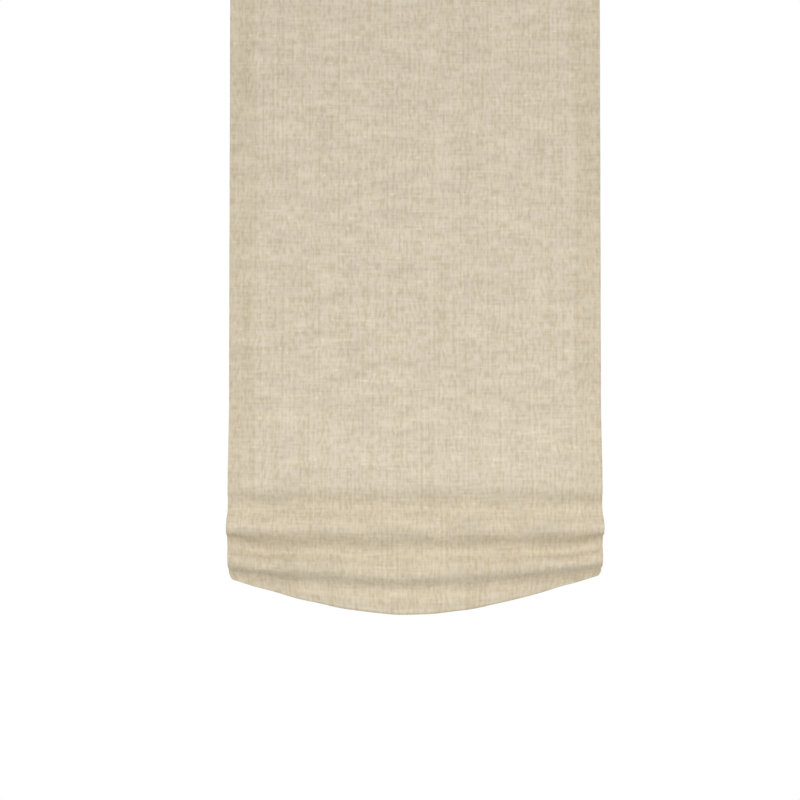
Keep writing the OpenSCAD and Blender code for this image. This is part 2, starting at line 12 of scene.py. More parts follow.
import bpy
import numpy as np
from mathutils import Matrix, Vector


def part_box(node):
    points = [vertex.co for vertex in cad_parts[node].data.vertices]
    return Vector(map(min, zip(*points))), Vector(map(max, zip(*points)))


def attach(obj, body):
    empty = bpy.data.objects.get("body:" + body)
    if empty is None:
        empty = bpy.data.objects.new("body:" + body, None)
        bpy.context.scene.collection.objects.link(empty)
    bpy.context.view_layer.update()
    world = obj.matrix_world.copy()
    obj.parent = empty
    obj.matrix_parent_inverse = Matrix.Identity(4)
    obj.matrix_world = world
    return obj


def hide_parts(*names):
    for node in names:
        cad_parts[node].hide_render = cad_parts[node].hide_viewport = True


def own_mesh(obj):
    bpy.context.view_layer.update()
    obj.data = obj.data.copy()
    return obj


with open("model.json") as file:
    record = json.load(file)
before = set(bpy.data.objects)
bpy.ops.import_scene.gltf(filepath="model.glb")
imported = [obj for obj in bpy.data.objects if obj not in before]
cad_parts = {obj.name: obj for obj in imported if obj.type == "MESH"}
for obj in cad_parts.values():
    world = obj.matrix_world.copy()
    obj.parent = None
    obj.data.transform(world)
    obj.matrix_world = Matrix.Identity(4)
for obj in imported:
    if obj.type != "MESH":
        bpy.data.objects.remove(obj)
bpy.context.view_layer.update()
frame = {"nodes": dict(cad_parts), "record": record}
nodes = frame["nodes"]
scene = bpy.context.scene
MM = 0.001

# %% [markdown]
# ## Three small helpers
# Colours are written as sRGB hex values, the way a paint chart gives them, and Blender's sockets want
# linear light. Every shader node in this file is added by one function: it takes the kind of node, its
# settings, a colour ramp's stops, and what goes into its sockets, which is either a plain value or
# another node's output.

# %% Colour, node and material helpers
def srgb(code):
    """An sRGB hex colour as linear RGBA."""
    parts = [int(code[i:i + 2], 16) / 255 for i in (1, 3, 5)]
    linear = [c / 12.92 if c <= 0.04045 else ((c + 0.055) / 1.055) ** 2.4 for c in parts]
    return (*linear, 1.0)


def add(tree, kind, inputs=None, stops=(), **settings):
    """Adds a node with its settings and colour stops, and links or sets its inputs."""
    node = tree.nodes.new(kind)
    for name, value in settings.items():
        setattr(node, name, value)
    for i, (position, colour) in enumerate(stops):
        stop = node.color_ramp.elements[i] if i < 2 else node.color_ramp.elements.new(position)
        stop.position = position
        stop.color = srgb(colour)
    for socket, value in (inputs or {}).items():
        if isinstance(value, bpy.types.NodeSocket):
            tree.links.new(value, node.inputs[socket])
        else:
            node.inputs[socket].default_value = value
    return node


def new_material(name):
    """A material with an empty node tree."""
    material = bpy.data.materials.new(name)
    material.use_nodes = True
    material.node_tree.nodes.clear()
    return material, material.node_tree


print("mid-grey #808080 in linear light:", [round(c, 3) for c in srgb("#808080")[:3]])

# %% [markdown]
# ## Camera
# The photograph looks square at the cloth. Its 800 pixels span 1.64 m at the cloth's plane, and the
# shade's middle sits 15 pixels right of the frame's middle, so the camera is moved that far to the left
# and stays level. The folds stand proud of the panel and look a little wider than it, which puts the
# camera some 2.5 m away.

# %% Camera
CLOTH_WIDTH_PX = 370
FRAME_PX = 800
SHADE_MIDDLE_PX = 415
HEM_PX = 614
CAMERA_DISTANCE = 2.5
SENSOR = 36.0

panel_low, panel_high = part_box("face_panel")
half_w = panel_high.x
cloth_top, seam_z = panel_high.z, panel_low.z
hem_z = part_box("face_folds")[0].z
tape_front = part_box("loop_tape")[0].y

metres_per_px = 2 * half_w / CLOTH_WIDTH_PX
camera_data = bpy.data.cameras.new("camera")
camera_data.sensor_width = SENSOR
camera_data.lens = SENSOR * CAMERA_DISTANCE / (FRAME_PX * metres_per_px)
camera = bpy.data.objects.new("camera", camera_data)
camera.location = ((FRAME_PX / 2 - SHADE_MIDDLE_PX) * metres_per_px, tape_front - CAMERA_DISTANCE,
                   hem_z + (HEM_PX - FRAME_PX / 2) * metres_per_px)
camera.rotation_euler = (math.radians(90), 0, 0)
scene.collection.objects.link(camera)
scene.camera = camera
print("camera:", [round(v, 3) for v in camera.location], "lens", round(camera_data.lens, 1), "mm")

# %% [markdown]
# ## Background and floor
# The photograph's ground is white and its creases only lose a quarter of their light, so there is a lot
# of bounce in the room. A pale world gives that bounce, and shows plain white to the camera and to mirror
# and see-through rays. The floor is a pale disc well below the shade, which hangs.

# %% World and floor
BOUNCE = 0.34
FLOOR_Z = -2.35
FLOOR_RADIUS = 1.5
FLOOR_POINTS = 96

scene.view_settings.view_transform = "Standard"
world = bpy.data.worlds.new("bright_room")
world.use_nodes = True
scene.world = world
room = world.node_tree
room.nodes.clear()
ray = add(room, "ShaderNodeLightPath")
mirror_ray = add(room, "ShaderNodeMath", {
    0: ray.outputs["Is Glossy Ray"], 1: ray.outputs["Is Transmission Ray"]}, operation="MAXIMUM")
seen_ray = add(room, "ShaderNodeMath", {0: ray.outputs["Is Camera Ray"], 1: mirror_ray.outputs[0]},
               operation="MAXIMUM")
bounce = add(room, "ShaderNodeBackground", {"Color": srgb("#fffefc"), "Strength": BOUNCE})
white = add(room, "ShaderNodeBackground", {"Color": (1, 1, 1, 1), "Strength": 1.0})
shown = add(room, "ShaderNodeMixShader", {0: seen_ray.outputs[0], 1: bounce.outputs[0], 2: white.outputs[0]})
add(room, "ShaderNodeOutputWorld", {"Surface": shown.outputs[0]})

matt_floor, tree = new_material("pale_matt_floor")
floor_shader = add(tree, "ShaderNodeBsdfDiffuse", {"Color": srgb("#e9e8e5")})
add(tree, "ShaderNodeOutputMaterial", {"Surface": floor_shader.outputs[0]})
rim = [(FLOOR_RADIUS * math.cos(a), FLOOR_RADIUS * math.sin(a), FLOOR_Z)
       for a in math.tau * np.arange(FLOOR_POINTS) / FLOOR_POINTS]
floor_mesh = bpy.data.meshes.new("floor")
floor_mesh.from_pydata(rim, [], [list(range(len(rim)))])
floor_mesh.materials.append(matt_floor)
floor = bpy.data.objects.new("floor", floor_mesh)
scene.collection.objects.link(floor)
print("bounce gives", BOUNCE, "of full light; floor at", FLOOR_Z, "m")

# %% [markdown]
# ## Lamps
# Upright matt cloth shows its written colour when all the light that reaches it adds up to one. So each
# lamp is set by its share of that one: a sun of strength S that meets the cloth at an angle gives S cos /
# pi, and an area lamp of P watts at a distance d gives P cos / (pi d)^2. The key is a very soft sun from
# above, which models the folds. A wide lamp low in front fills, and makes the cloth a little brighter
# towards the foot, as the photograph has it. A second sun does for the back what the key does for the
# front.

# %% Lamps
CLOTH_MIDDLE = Vector((0, tape_front, -0.80))
SUN_WIDTH = math.radians(50)


def add_lamp(name, kind, place, share, colour, **settings):
    """A lamp turned to the cloth's middle, which gives upright cloth there this share of full light."""
    towards = Vector(place) - CLOTH_MIDDLE
    data = bpy.data.lights.new(name, kind)
    data.energy = share * math.pi / abs(towards.normalized().y)
    if kind == "AREA":
        data.energy *= math.pi * towards.length_squared
        data.shape = "RECTANGLE"
    data.color = srgb(colour)[:3]
    for setting, value in settings.items():
        setattr(data, setting, value)
    lamp = bpy.data.objects.new(name, data)
    lamp.location = place
    lamp.rotation_euler = (-towards).to_track_quat("-Z", "Y").to_euler()
    scene.collection.objects.link(lamp)
    print(name, "energy", round(data.energy, 2))


add_lamp("key_sky", "SUN", place=(-0.6, -3.0, 1.8), share=0.34, colour="#fffdfa", angle=SUN_WIDTH)
add_lamp("low_front", "AREA", place=(0.3, -3.2, -1.3), share=0.32, colour="#fffefc", size=1.8, size_y=0.9)
add_lamp("back_sky", "SUN", place=(0.8, 3.0, 1.4), share=0.38, colour="#fbfcff", angle=SUN_WIDTH)

# %% [markdown]
# ## Linen
# The face cloth is a plain-woven linen: flax yarns of uneven thickness, with slubs, in a heathered
# oatmeal. The eye gets fine streaks down the warp, thick-and-thin runs along the weft, tan where the yarn
# is dark and greyer where it is pale, some light specks, and a matt surface with a faint fuzz. Where
# layers lie behind each other, in the side hems and the folds, less light comes through them. That shade
# is painted into the colour, which is multiplied a little darker there. The pattern is read from the
# cloth's own flat measure, which every cloth mesh below carries as an attribute, so that it bends with
# the folds. Single threads are about half a millimetre apart and would not show, so the weave is drawn at
# 2.2 mm.

# %% Linen
SIDE_HEM, HEM_FADE, FOLD_FADE = 50 * MM, 6 * MM, 40 * MM
WEAVE_STEP, FINE = 2.2 * MM, 0.01 * MM
ON_WARP, ON_WEFT = (WEAVE_STEP, FINE), (FINE, WEAVE_STEP)
# Size of each pattern across and down the cloth, and the shares of the yarn's tone that the first three have
STREAK, LONG_THREAD, SLUB = (5.0 * MM, 17 * MM), (5.0 * MM, 300 * MM), (48 * MM, 5.0 * MM)
STREAK_SHARE, THREAD_SHARE, SLUB_SHARE = 0.48, 0.26, 0.26
SPECK, HEATHER = (14 * MM, 4.4 * MM), (75 * MM, 28 * MM)
# How far the uneven yarns stand out, against the weave
YARN_RELIEF = 2.0
# A wave texture has 20 radians to its unit along one axis, and 10 to each unit along a diagonal
WAVE_STEP, DIAGONAL_STEP = math.tau / 20, math.tau / 10 / math.sqrt(2)


def cloth_measure(tree, size, thread=(FINE, FINE)):
    """The cloth's flat measure, in steps of the given size across and down. It is the same over a whole
    thread's width, so that a pattern runs straight along its threads."""
    flat = add(tree, "ShaderNodeAttribute", attribute_name="cloth")
    on_thread = add(tree, "ShaderNodeVectorMath", {0: flat.outputs["Vector"], 1: (*thread, 1)},
                    operation="SNAP")
    steps = add(tree, "ShaderNodeVectorMath", {
        0: on_thread.outputs["Vector"], 1: (1 / size[0], 1 / size[1], 1)}, operation="MULTIPLY")
    return steps.outputs["Vector"]


linen, tree = new_material("oatmeal_linen_plain_weave")
warp_streaks = add(tree, "ShaderNodeTexNoise", {
    "Vector": cloth_measure(tree, STREAK, ON_WARP), "Scale": 1.0, "Detail": 1.5, "Roughness": 0.5})
long_threads = add(tree, "ShaderNodeTexNoise", {
    "Vector": cloth_measure(tree, LONG_THREAD, ON_WARP), "Scale": 1.0, "Detail": 1.0, "Roughness": 0.5})
weft_slubs = add(tree, "ShaderNodeTexNoise", {
    "Vector": cloth_measure(tree, SLUB, ON_WEFT), "Scale": 1.0, "Detail": 1.5, "Roughness": 0.5})
specks = add(tree, "ShaderNodeTexNoise", {
    "Vector": cloth_measure(tree, SPECK, ON_WEFT), "Scale": 1.0, "Detail": 1.0, "Roughness": 0.4})
heather = add(tree, "ShaderNodeTexNoise", {
    "Vector": cloth_measure(tree, HEATHER), "Scale": 1.0, "Detail": 3.0, "Roughness": 0.55})
long_part = add(tree, "ShaderNodeMath", {
    0: long_threads.outputs["Fac"], 1: THREAD_SHARE}, operation="MULTIPLY")
warp_part = add(tree, "ShaderNodeMath", {
    0: warp_streaks.outputs["Fac"], 1: STREAK_SHARE, 2: long_part.outputs[0]}, operation="MULTIPLY_ADD")
threads = add(tree, "ShaderNodeMath", {
    0: weft_slubs.outputs["Fac"], 1: SLUB_SHARE, 2: warp_part.outputs[0]}, operation="MULTIPLY_ADD")
yarn = add(tree, "ShaderNodeValToRGB", {"Fac": threads.outputs[0]},
           stops=[(0.40, "#c9bca4"), (0.61, "#d9d0bf"), (0.50, "#d4c9b5")])
drift = add(tree, "ShaderNodeMapRange", {
    "Value": heather.outputs["Fac"], "From Min": 0.3, "From Max": 0.7, "To Min": 0.93, "To Max": 1.065})
flecks = add(tree, "ShaderNodeMapRange", {
    "Value": specks.outputs["Fac"], "From Min": 0.64, "From Max": 0.8, "To Min": 0.0, "To Max": 0.17})
bright = add(tree, "ShaderNodeMath", {0: drift.outputs[0], 1: flecks.outputs[0]}, operation="ADD")
coloured = add(tree, "ShaderNodeMix", {0: 1.0, 6: yarn.outputs["Color"], 7: bright.outputs[0]},
               data_type="RGBA", blend_type="MULTIPLY")
flat_place = add(tree, "ShaderNodeAttribute", attribute_name="cloth")
across = add(tree, "ShaderNodeSeparateXYZ", {0: flat_place.outputs["Vector"]})
from_middle = add(tree, "ShaderNodeMath", {0: across.outputs["X"]}, operation="ABSOLUTE")
hem_from, folds_from = half_w - SIDE_HEM, cloth_top - seam_z
in_hem = add(tree, "ShaderNodeMapRange", {
    "Value": from_middle.outputs[0], "From Min": hem_from - HEM_FADE, "From Max": hem_from})
in_folds = add(tree, "ShaderNodeMapRange", {
    "Value": across.outputs["Y"], "From Min": folds_from, "From Max": folds_from + FOLD_FADE})
# Painted shade: the linen's colour is multiplied a little darker in the side hems and over the folds, where
# less light comes through the layers
layers = add(tree, "ShaderNodeMath", {0: in_hem.outputs[0], 1: in_folds.outputs[0]}, operation="MAXIMUM")
painted_shade_colour = add(tree, "ShaderNodeMix", {0: layers.outputs[0], 6: coloured.outputs[2], 7: srgb("#faf9f5")},
              data_type="RGBA", blend_type="MULTIPLY")
warp_rib, weft_rib = [add(tree, "ShaderNodeTexWave", {
    "Vector": cloth_measure(tree, (WEAVE_STEP, WEAVE_STEP)), "Scale": WAVE_STEP, "Distortion": 0.3},
    bands_direction=way) for way in "XY"]
weave = add(tree, "ShaderNodeMath", {0: warp_rib.outputs["Fac"], 1: weft_rib.outputs["Fac"]},
            operation="MAXIMUM")
relief = add(tree, "ShaderNodeMath", {0: threads.outputs[0], 1: YARN_RELIEF, 2: weave.outputs[0]},
             operation="MULTIPLY_ADD")
fuzz = add(tree, "ShaderNodeBump", {"Strength": 0.16, "Distance": 0.4 * MM, "Height": relief.outputs[0]})
shader = add(tree, "ShaderNodeBsdfPrincipled", {
    "Base Color": painted_shade_colour.outputs[2], "Roughness": 0.92, "IOR": 1.47, "Specular IOR Level": 0.2,
    "Sheen Weight": 0.1, "Sheen Roughness": 0.5, "Normal": fuzz.outputs["Normal"]})
add(tree, "ShaderNodeOutputMaterial", {"Surface": shader.outputs[0]})
print("linen: weave drawn at", round(WEAVE_STEP / MM, 1), "mm, streaks", round(STREAK[0] / MM, 1), "mm wide")

# %% [markdown]
# ## The line that the cloth hangs in
# Cloth that is pushed up hangs in waves: each one starts upright, leans to its steepest angle halfway and
# ends upright again. A sine for that angle along the cloth gives the round, even folds of real drapery,
# and is the same formula that the CAD solids follow. A fall goes forward and a tuck comes back just as
# far, so the creases, where the rings are sewn, stay in one plane. The angles change from the side edges
# to the middle, which makes the creases sag in a smile. Below the last crease the CAD solid takes up the
# spare cloth at the sides in a roll. The linen is cut in a curve there instead, so that its skirt hangs
# softly, and its hem curls back a little.

# %% Fold formula
# Each wave: length of cloth, its steepest angle at the side edges and in the middle in degrees, and what the
# soft cloth adds to that angle outside the cords, where no ring holds it
LEAN, DIP = (0.170, 6.5, 6.5, 0), (0.046, 24, 24, 0)
FOLD_1_FALL, FOLD_1_TUCK = (0.049, 48, 38, 0), (0.055, 50, 38, 30)
FOLD_2_FALL, FOLD_2_TUCK = (0.048, 86, 40, -28), (0.043, 78, 38, -4)
CAD_SKIRT = (0.026, 110, 28, 0), (0.024, 122, 12, 0)
SKIRT_FALL, SKIRT_TUCK, SKIRT_CURL = (0.026, 14, 28, 0), (0.017, 6, 12, 0), (0.014, 30, 60, 0)
SMILE_ROUND = 0.22
# The smile hangs a little to the left, as the photograph has it
SMILE_SKEW = 0.035
FLAT_ROW, LEAN_ROW, DIP_ROW, FOLD_ROW, CURL_ROW = 7.5 * MM, 3.0 * MM, 1.3 * MM, 2.6 * MM, 0.8 * MM
CAD_FACE_T = 0.8 * MM

face_y = tape_front - CAD_FACE_T / 2
cord_x = (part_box("cord_orb_right")[0].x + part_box("cord_orb_right")[1].x) / 2


def rounded(u):
    """Distance from mid-width, with its corner at the middle rounded off."""
    return np.hypot(u, SMILE_ROUND) - SMILE_ROUND


def wave_steps(wave, u, way, row):
    """Steps (y, z) down one wave for each column u, which runs from -1 to 1 across the cloth."""
    length, at_edge, at_middle, outside = wave
    to_middle = 1 - rounded(u + SMILE_SKEW) / rounded(1)
    past_cord = np.clip((np.abs(u) - cord_x / half_w) / (1 - cord_x / half_w), 0, 1)
    free = past_cord ** 2 * (3 - 2 * past_cord)
    steepest = np.radians(at_edge + (at_middle - at_edge) * to_middle + outside * free)
    count = round(length / row)
    angle = np.sin(np.pi * (np.arange(count) + 0.5) / count)[:, None] * steepest
    return np.stack([way * np.sin(angle), -np.cos(angle)], -1) * length / count


def closed(tuck, fall):
    """A tuck scaled in depth so that it comes back as far as its fall went out."""
    share = np.abs(fall[..., 0].sum(0) / tuck[..., 0].sum(0))
    return np.stack([tuck[..., 0] * share, tuck[..., 1]], -1)


def skirt(u):
    """The falls below the last crease, cut so that the hem is where the CAD solid has it."""
    soft = [wave_steps(SKIRT_FALL, u, -1, FOLD_ROW), wave_steps(SKIRT_TUCK, u, 1, FOLD_ROW)]
    curl = wave_steps(SKIRT_CURL, u, 1, CURL_ROW)
    soft.append(curl[:len(curl) // 2])
    wanted = sum(wave_steps(wave, u, 1, FOLD_ROW)[..., 1].sum(0) for wave in CAD_SKIRT)
    share = wanted / sum(wave[..., 1].sum(0) for wave in soft)
    return [wave * share[:, None] for wave in soft]


def hang(u, top_z):
    """The cloth's line (y, z) from top_z to the hem and the length down it for each column, and the rows
    where the flat, the lean, the dip, then each fall and tuck, and the skirt's parts end."""
    lean = wave_steps(LEAN, u, -1, LEAN_ROW)
    flat_length = top_z - seam_z + lean[:, 0, 1].sum()
    flat_rows = round(flat_length / FLAT_ROW)
    stretches = [np.tile((0, -flat_length / flat_rows), (flat_rows, len(u), 1)), lean,
                 closed(wave_steps(DIP, u, 1, DIP_ROW), lean)]
    for fall_wave, tuck_wave in ((FOLD_1_FALL, FOLD_1_TUCK), (FOLD_2_FALL, FOLD_2_TUCK)):
        fall = wave_steps(fall_wave, u, -1, FOLD_ROW)
        stretches += [fall, closed(wave_steps(tuck_wave, u, 1, FOLD_ROW), fall)]
    stretches += skirt(u)
    steps = np.concatenate(stretches)
    line = np.concatenate([np.tile((face_y, top_z), (1, len(u), 1)), steps]).cumsum(0)
    lengths = np.concatenate([np.zeros((1, len(u))), np.linalg.norm(steps, axis=-1).cumsum(0)])
    return line, lengths, np.cumsum([len(s) for s in stretches])


cord_line, cord_lengths, ends = hang(np.array([0, cord_x / half_w, 1]), cloth_top)
cord_length = cord_lengths[:, 1]
SEAM_ROW, CREASE_ROWS, BULGE_ROWS = ends[1], ends[[2, 4, 6]], ends[[3, 5]]
panel_length = cord_length[SEAM_ROW]
crease_z = cord_line[CREASE_ROWS, 1, 1]
print("creases at the cords, mm:", (crease_z / MM).round(1))
print("hem at mid-width and at the edge, mm:", (cord_line[-1, [0, 2]] / MM).round(1).tolist())

# %% [markdown]
# ## Hand-made unevenness
# A formula alone looks machined. Real cloth stands a little forward between the places where it is sewn
# to rings, bellies slightly between the ring rows, which is where it pleats when the shade is raised, and
# ripples in its folds. All of this goes forward, towards the room, because the lining and the ring tabs
# lie close behind.

# %% Ripples
SOFT_RIPPLE, FOLD_RIPPLE, BELLY = 0.9 * MM, 1.8 * MM, 1.6 * MM
HELD_R = 25 * MM
TAPE_RAMP, FOLD_RAMP = 150 * MM, 100 * MM
RIPPLE_MIDDLE, RIPPLE_GAIN = 0.5, 0.8
RNG = np.random.default_rng(8)

tape_bottom = cloth_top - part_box("loop_tape")[0].z
row_z = [(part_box(f"ring_row_{n}")[0].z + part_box(f"ring_row_{n}")[1].z) / 2 for n in (1, 2, 3, 4)]
row_lengths = [cloth_top - z for z in row_z]
ring_lengths = row_lengths + cord_length[CREASE_ROWS].tolist()


def ripple_waves(count, wavelength, slant):
    """Waves of random length across, slant down and phase, whose sum is a smooth uneven surface."""
    return np.stack([1 / RNG.uniform(*wavelength, count), RNG.uniform(-slant, slant, count),
                     RNG.uniform(0, 1, count)])[..., None, None]


def ripple(waves, x, t):
    """Height of such a surface at x across and t down, between 0 and 1."""
    across, down, phase = waves
    height = np.sin(math.tau * (across * x + down * t + phase)).mean(0)
    return np.clip(RIPPLE_MIDDLE + RIPPLE_GAIN * height, 0, 1)


SOFT_WAVES = ripple_waves(count=7, wavelength=(0.16, 0.42), slant=1.2)
FOLD_WAVES = ripple_waves(count=9, wavelength=(0.07, 0.20), slant=3.0)


def forward(x, t):
    """How far the cloth stands forward of its line at x across and t down."""
    x, t = x[None, :], t[:, None]
    below_tape = np.clip((t - tape_bottom) / TAPE_RAMP, 0, 1)
    in_folds = np.clip((t - panel_length) / FOLD_RAMP, 0, 1)
    pleat = np.interp(t, [tape_bottom] + row_lengths, range(len(row_lengths) + 1))
    out = below_tape * (SOFT_RIPPLE * ripple(SOFT_WAVES, x, t)
                        + in_folds * FOLD_RIPPLE * ripple(FOLD_WAVES, x, t)
                        + BELLY * np.sin(np.pi * pleat) ** 2)
    for ring_x in (-cord_x, cord_x):
        for ring_t in ring_lengths:
            out = out * (1 - np.exp(-((x - ring_x) ** 2 + (t - ring_t) ** 2) / HELD_R ** 2))
    return out


print("the cloth stands forward by up to", round((SOFT_RIPPLE + FOLD_RIPPLE) / MM, 1), "mm in the folds")

# %% [markdown]
# ## From a grid to cloth
# A cloth here is a grid of points. A Solidify modifier could thicken it, but it would smooth the cut
# edges into the faces and show as a dark line where two pieces of one cloth meet. So the shell is made
# here: the grid moved half a thickness to each side, joined round the rim by flat faces with sharp edges.
# Both sides carry the flat measure that the weave is read from.

# %% Cloth helpers
RIM_ANGLE = math.radians(60)


def grid_normals(grid):
    """Unit normals at the points of a grid, on the side that starts out facing the room."""
    face = np.cross(grid[1:, 1:] - grid[:-1, :-1], grid[:-1, 1:] - grid[1:, :-1])
    face /= np.linalg.norm(face, axis=-1, keepdims=True)
    total = np.zeros_like(grid)
    for rows in (slice(None, -1), slice(1, None)):
        for columns in (slice(None, -1), slice(1, None)):
            total[rows, columns] += face
    return total / np.linalg.norm(total, axis=-1, keepdims=True)


def cloth_shell(name, grid, normals, flat, thickness):
    """A closed mesh of that thickness round a grid, with its flat measure as the attribute cloth."""
    rows, columns = grid.shape[:2]
    front = np.arange(rows * columns).reshape(rows, columns)
    back = front + rows * columns

    def quads(*corners):
        return np.stack(corners, -1).reshape(-1, 4)

    skins = np.concatenate([
        quads(front[:-1, :-1], front[1:, :-1], front[1:, 1:], front[:-1, 1:]),
        quads(back[:-1, :-1], back[:-1, 1:], back[1:, 1:], back[1:, :-1])])
    rims = np.concatenate([
        quads(front[0, :-1], front[0, 1:], back[0, 1:], back[0, :-1]),
        quads(front[-1, :-1], back[-1, :-1], back[-1, 1:], front[-1, 1:]),
        quads(front[:-1, 0], back[:-1, 0], back[1:, 0], front[1:, 0]),
        quads(front[:-1, -1], front[1:, -1], back[1:, -1], back[:-1, -1])])
    points = np.concatenate([grid + normals * thickness / 2, grid - normals * thickness / 2]).reshape(-1, 3)
    mesh = bpy.data.meshes.new(name)
    mesh.from_pydata(points.tolist(), [], np.concatenate([skins, rims]).tolist())
    mesh.polygons.foreach_set("use_smooth", np.arange(len(skins) + len(rims)) < len(skins))
    measure = np.concatenate([flat, flat]).astype(np.float32).ravel()
    mesh.attributes.new("cloth", "FLOAT_VECTOR", "POINT").data.foreach_set("vector", measure)
    mesh.set_sharp_from_angle(angle=RIM_ANGLE)
    return mesh


def new_piece(mesh, material, body, slot, *replaced):
    """A new object that rides on a body, with its material, and hides the CAD nodes it stands for. The slot
    argument is not used.
    """
    mesh.materials.append(material)
    piece = bpy.data.objects.new(mesh.name, mesh)
    scene.collection.objects.link(piece)
    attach(piece, body)
    if replaced:
        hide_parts(*replaced)
    return piece


def rise_with_lift(piece):
    """Gives the piece its own copy of its mesh."""
    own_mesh(piece)


# %% [markdown]
# ## Face cloth
# One strip of linen makes the face. It is turned back on itself at both sides and then along the bottom,
# so the columns start at the left hem's raw edge, run out to the side, round it, across the front and
# back again on the right, and the last rows run back up behind the bottom hem. In the bottom corners four
# layers lie on each other. The cloth is cut in two at the seam line only because its panel shortens as
# the shade is raised and its folds ride up whole: the last row of one is the first row of the other.

# %% Face cloth
LAYER, LINEN_T = 0.42 * MM, 0.40 * MM
COLUMN_STEP = 8 * MM
BOTTOM_HEM = 24 * MM
TURN_STEPS, HEM_STEPS = 5, 8
CORNER_RAMP = 10 * MM
# Width of the cloth as a share of the CAD width: it spreads a little over the folds and draws in at the hem
SPREAD = {"top": 0.997, "seam": 1.008, "bulge 1": 1.013, "crease 2": 1.014, "bulge 2": 1.003,
          "crease 3": 1.005, "hem": 0.985}

turn = np.linspace(0, np.pi, TURN_STEPS + 2)[1:-1]
edge = half_w - LAYER / 2
front_x = np.linspace(-edge, edge, round(2 * edge / COLUMN_STEP) + 1)
side_x = np.concatenate([edge + LAYER / 2 * np.sin(turn), np.linspace(edge, half_w - SIDE_HEM, HEM_STEPS)])
side_depth = np.concatenate([LAYER / 2 * (1 - np.cos(turn)), np.full(HEM_STEPS, LAYER)])
x = np.concatenate([-side_x[::-1], front_x, side_x])
depth = np.concatenate([side_depth[::-1], np.zeros(len(front_x)), side_depth])
run = np.concatenate([[0], np.hypot(np.diff(x), np.diff(depth)).cumsum()])
run -= run[-1] / 2


def spread_at(rows):
    """Width share at each row, counted in the face cloth's rows."""
    places = [0, SEAM_ROW, BULGE_ROWS[0], CREASE_ROWS[1], BULGE_ROWS[1], CREASE_ROWS[2], ends[-1]]
    return np.interp(rows, places, list(SPREAD.values()))


def lay(line, length, row, x, behind, below):
    """Grid points of a cloth: rows of the line, moved back by the layers in front and down past its end."""
    along = np.gradient(line, axis=0)
    along /= np.linalg.norm(along, axis=-1, keepdims=True)
    back = np.stack([-along[..., 1], along[..., 0]], -1)
    offset = behind - forward(x, length)[row]
    yz = line[row] + back[row] * offset[..., None] + along[row] * below[..., None]
    wide = x * spread_at(row + len(face_rows) - len(line))[:, None]
    return np.concatenate([wide[..., None], yz], -1)


line, lengths = hang(x / half_w, cloth_top)[:2]
length = lengths.mean(1)
face_rows = np.arange(len(line))
hem_rows = np.flatnonzero(length > length[-1] - BOTTOM_HEM)[-2::-1]
row = np.concatenate([face_rows, np.full(TURN_STEPS, len(line) - 1), hem_rows])
row_turn = np.concatenate([np.zeros(len(line)), turn, np.full(len(hem_rows), np.pi)])[:, None]
turned = np.concatenate([lengths[-1] + LAYER / 2 * turn[:, None], 2 * lengths[-1] - lengths[hem_rows]])
flat_lengths = np.concatenate([lengths, turned])
corner = np.clip((np.abs(x) - (half_w - SIDE_HEM - CORNER_RAMP)) / CORNER_RAMP, 0, 1)
half_turn = LAYER * (0.5 + corner) - depth
behind = depth + half_turn * (1 - np.cos(row_turn))
face_grid = lay(line, length, row, x, behind, half_turn * np.sin(row_turn))
face_normals = grid_normals(face_grid)
face_flat = np.stack(np.broadcast_arrays(run[None, :], flat_lengths, 0.0), -1)
above, below = slice(0, SEAM_ROW + 1), slice(SEAM_ROW, None)

panel_mesh = cloth_shell("face_cloth_panel", face_grid[above], face_normals[above], face_flat[above],
                         LINEN_T)
face_panel = new_piece(panel_mesh, linen, "headrail", "linen", "face_panel")
rise_with_lift(face_panel)
folds_mesh = cloth_shell("face_cloth_folds", face_grid[below], face_normals[below], face_flat[below],
                         LINEN_T)
face_folds = new_piece(folds_mesh, linen, "fold_stack", "linen", "face_folds")

# %% [markdown]
# ## Lining
# Behind the linen hangs a cotton sateen lining, narrower than the face, with its edges slip-stitched to
# the side hems and its foot a little above the bottom hem. Sateen floats most of its warp on one side, so
# it is smooth, with a soft lustre and fine lines down the cloth. Those are a quarter of a millimetre
# apart on the real one and are drawn at 1.6 mm here.

# %% Lining material
# Size of each pattern across and down the cloth, and how strong the last two are against the warp lines. A
# light line and the dark one beside it are two sizes wide.
WARP_LINE, CLOUD, CRUMPLE = (0.8 * MM, 60 * MM), (90 * MM, 120 * MM), (45 * MM, 70 * MM)
CLOUD_TONE, CRUMPLE_RELIEF = 0.3, 6.0

sateen, tree = new_material("ivory_cotton_sateen")
warp_lines, cloud, crumple = [
    add(tree, "ShaderNodeTexNoise", {
        "Vector": cloth_measure(tree, size), "Scale": 1.0, "Detail": detail, "Roughness": 0.5})
    for size, detail in ((WARP_LINE, 2.0), (CLOUD, 2.0), (CRUMPLE, 3.0))]
tone = add(tree, "ShaderNodeMath", {0: cloud.outputs["Fac"], 1: CLOUD_TONE, 2: warp_lines.outputs["Fac"]},
           operation="MULTIPLY_ADD")
cotton = add(tree, "ShaderNodeValToRGB", {"Fac": tone.outputs[0]},
             stops=[(0.45, "#e6e0d3"), (0.85, "#f1ede4")])
height = add(tree, "ShaderNodeMath", {
    0: crumple.outputs["Fac"], 1: CRUMPLE_RELIEF, 2: warp_lines.outputs["Fac"]}, operation="MULTIPLY_ADD")
surface = add(tree, "ShaderNodeBump", {"Strength": 0.3, "Distance": 0.3 * MM, "Height": height.outputs[0]})
shader = add(tree, "ShaderNodeBsdfPrincipled", {
    "Base Color": cotton.outputs["Color"], "Roughness": 0.7, "IOR": 1.47, "Specular IOR Level": 0.35,
    "Sheen Weight": 0.15, "Sheen Roughness": 0.35, "Normal": surface.outputs["Normal"]})
add(tree, "ShaderNodeOutputMaterial", {"Surface": shader.outputs[0]})
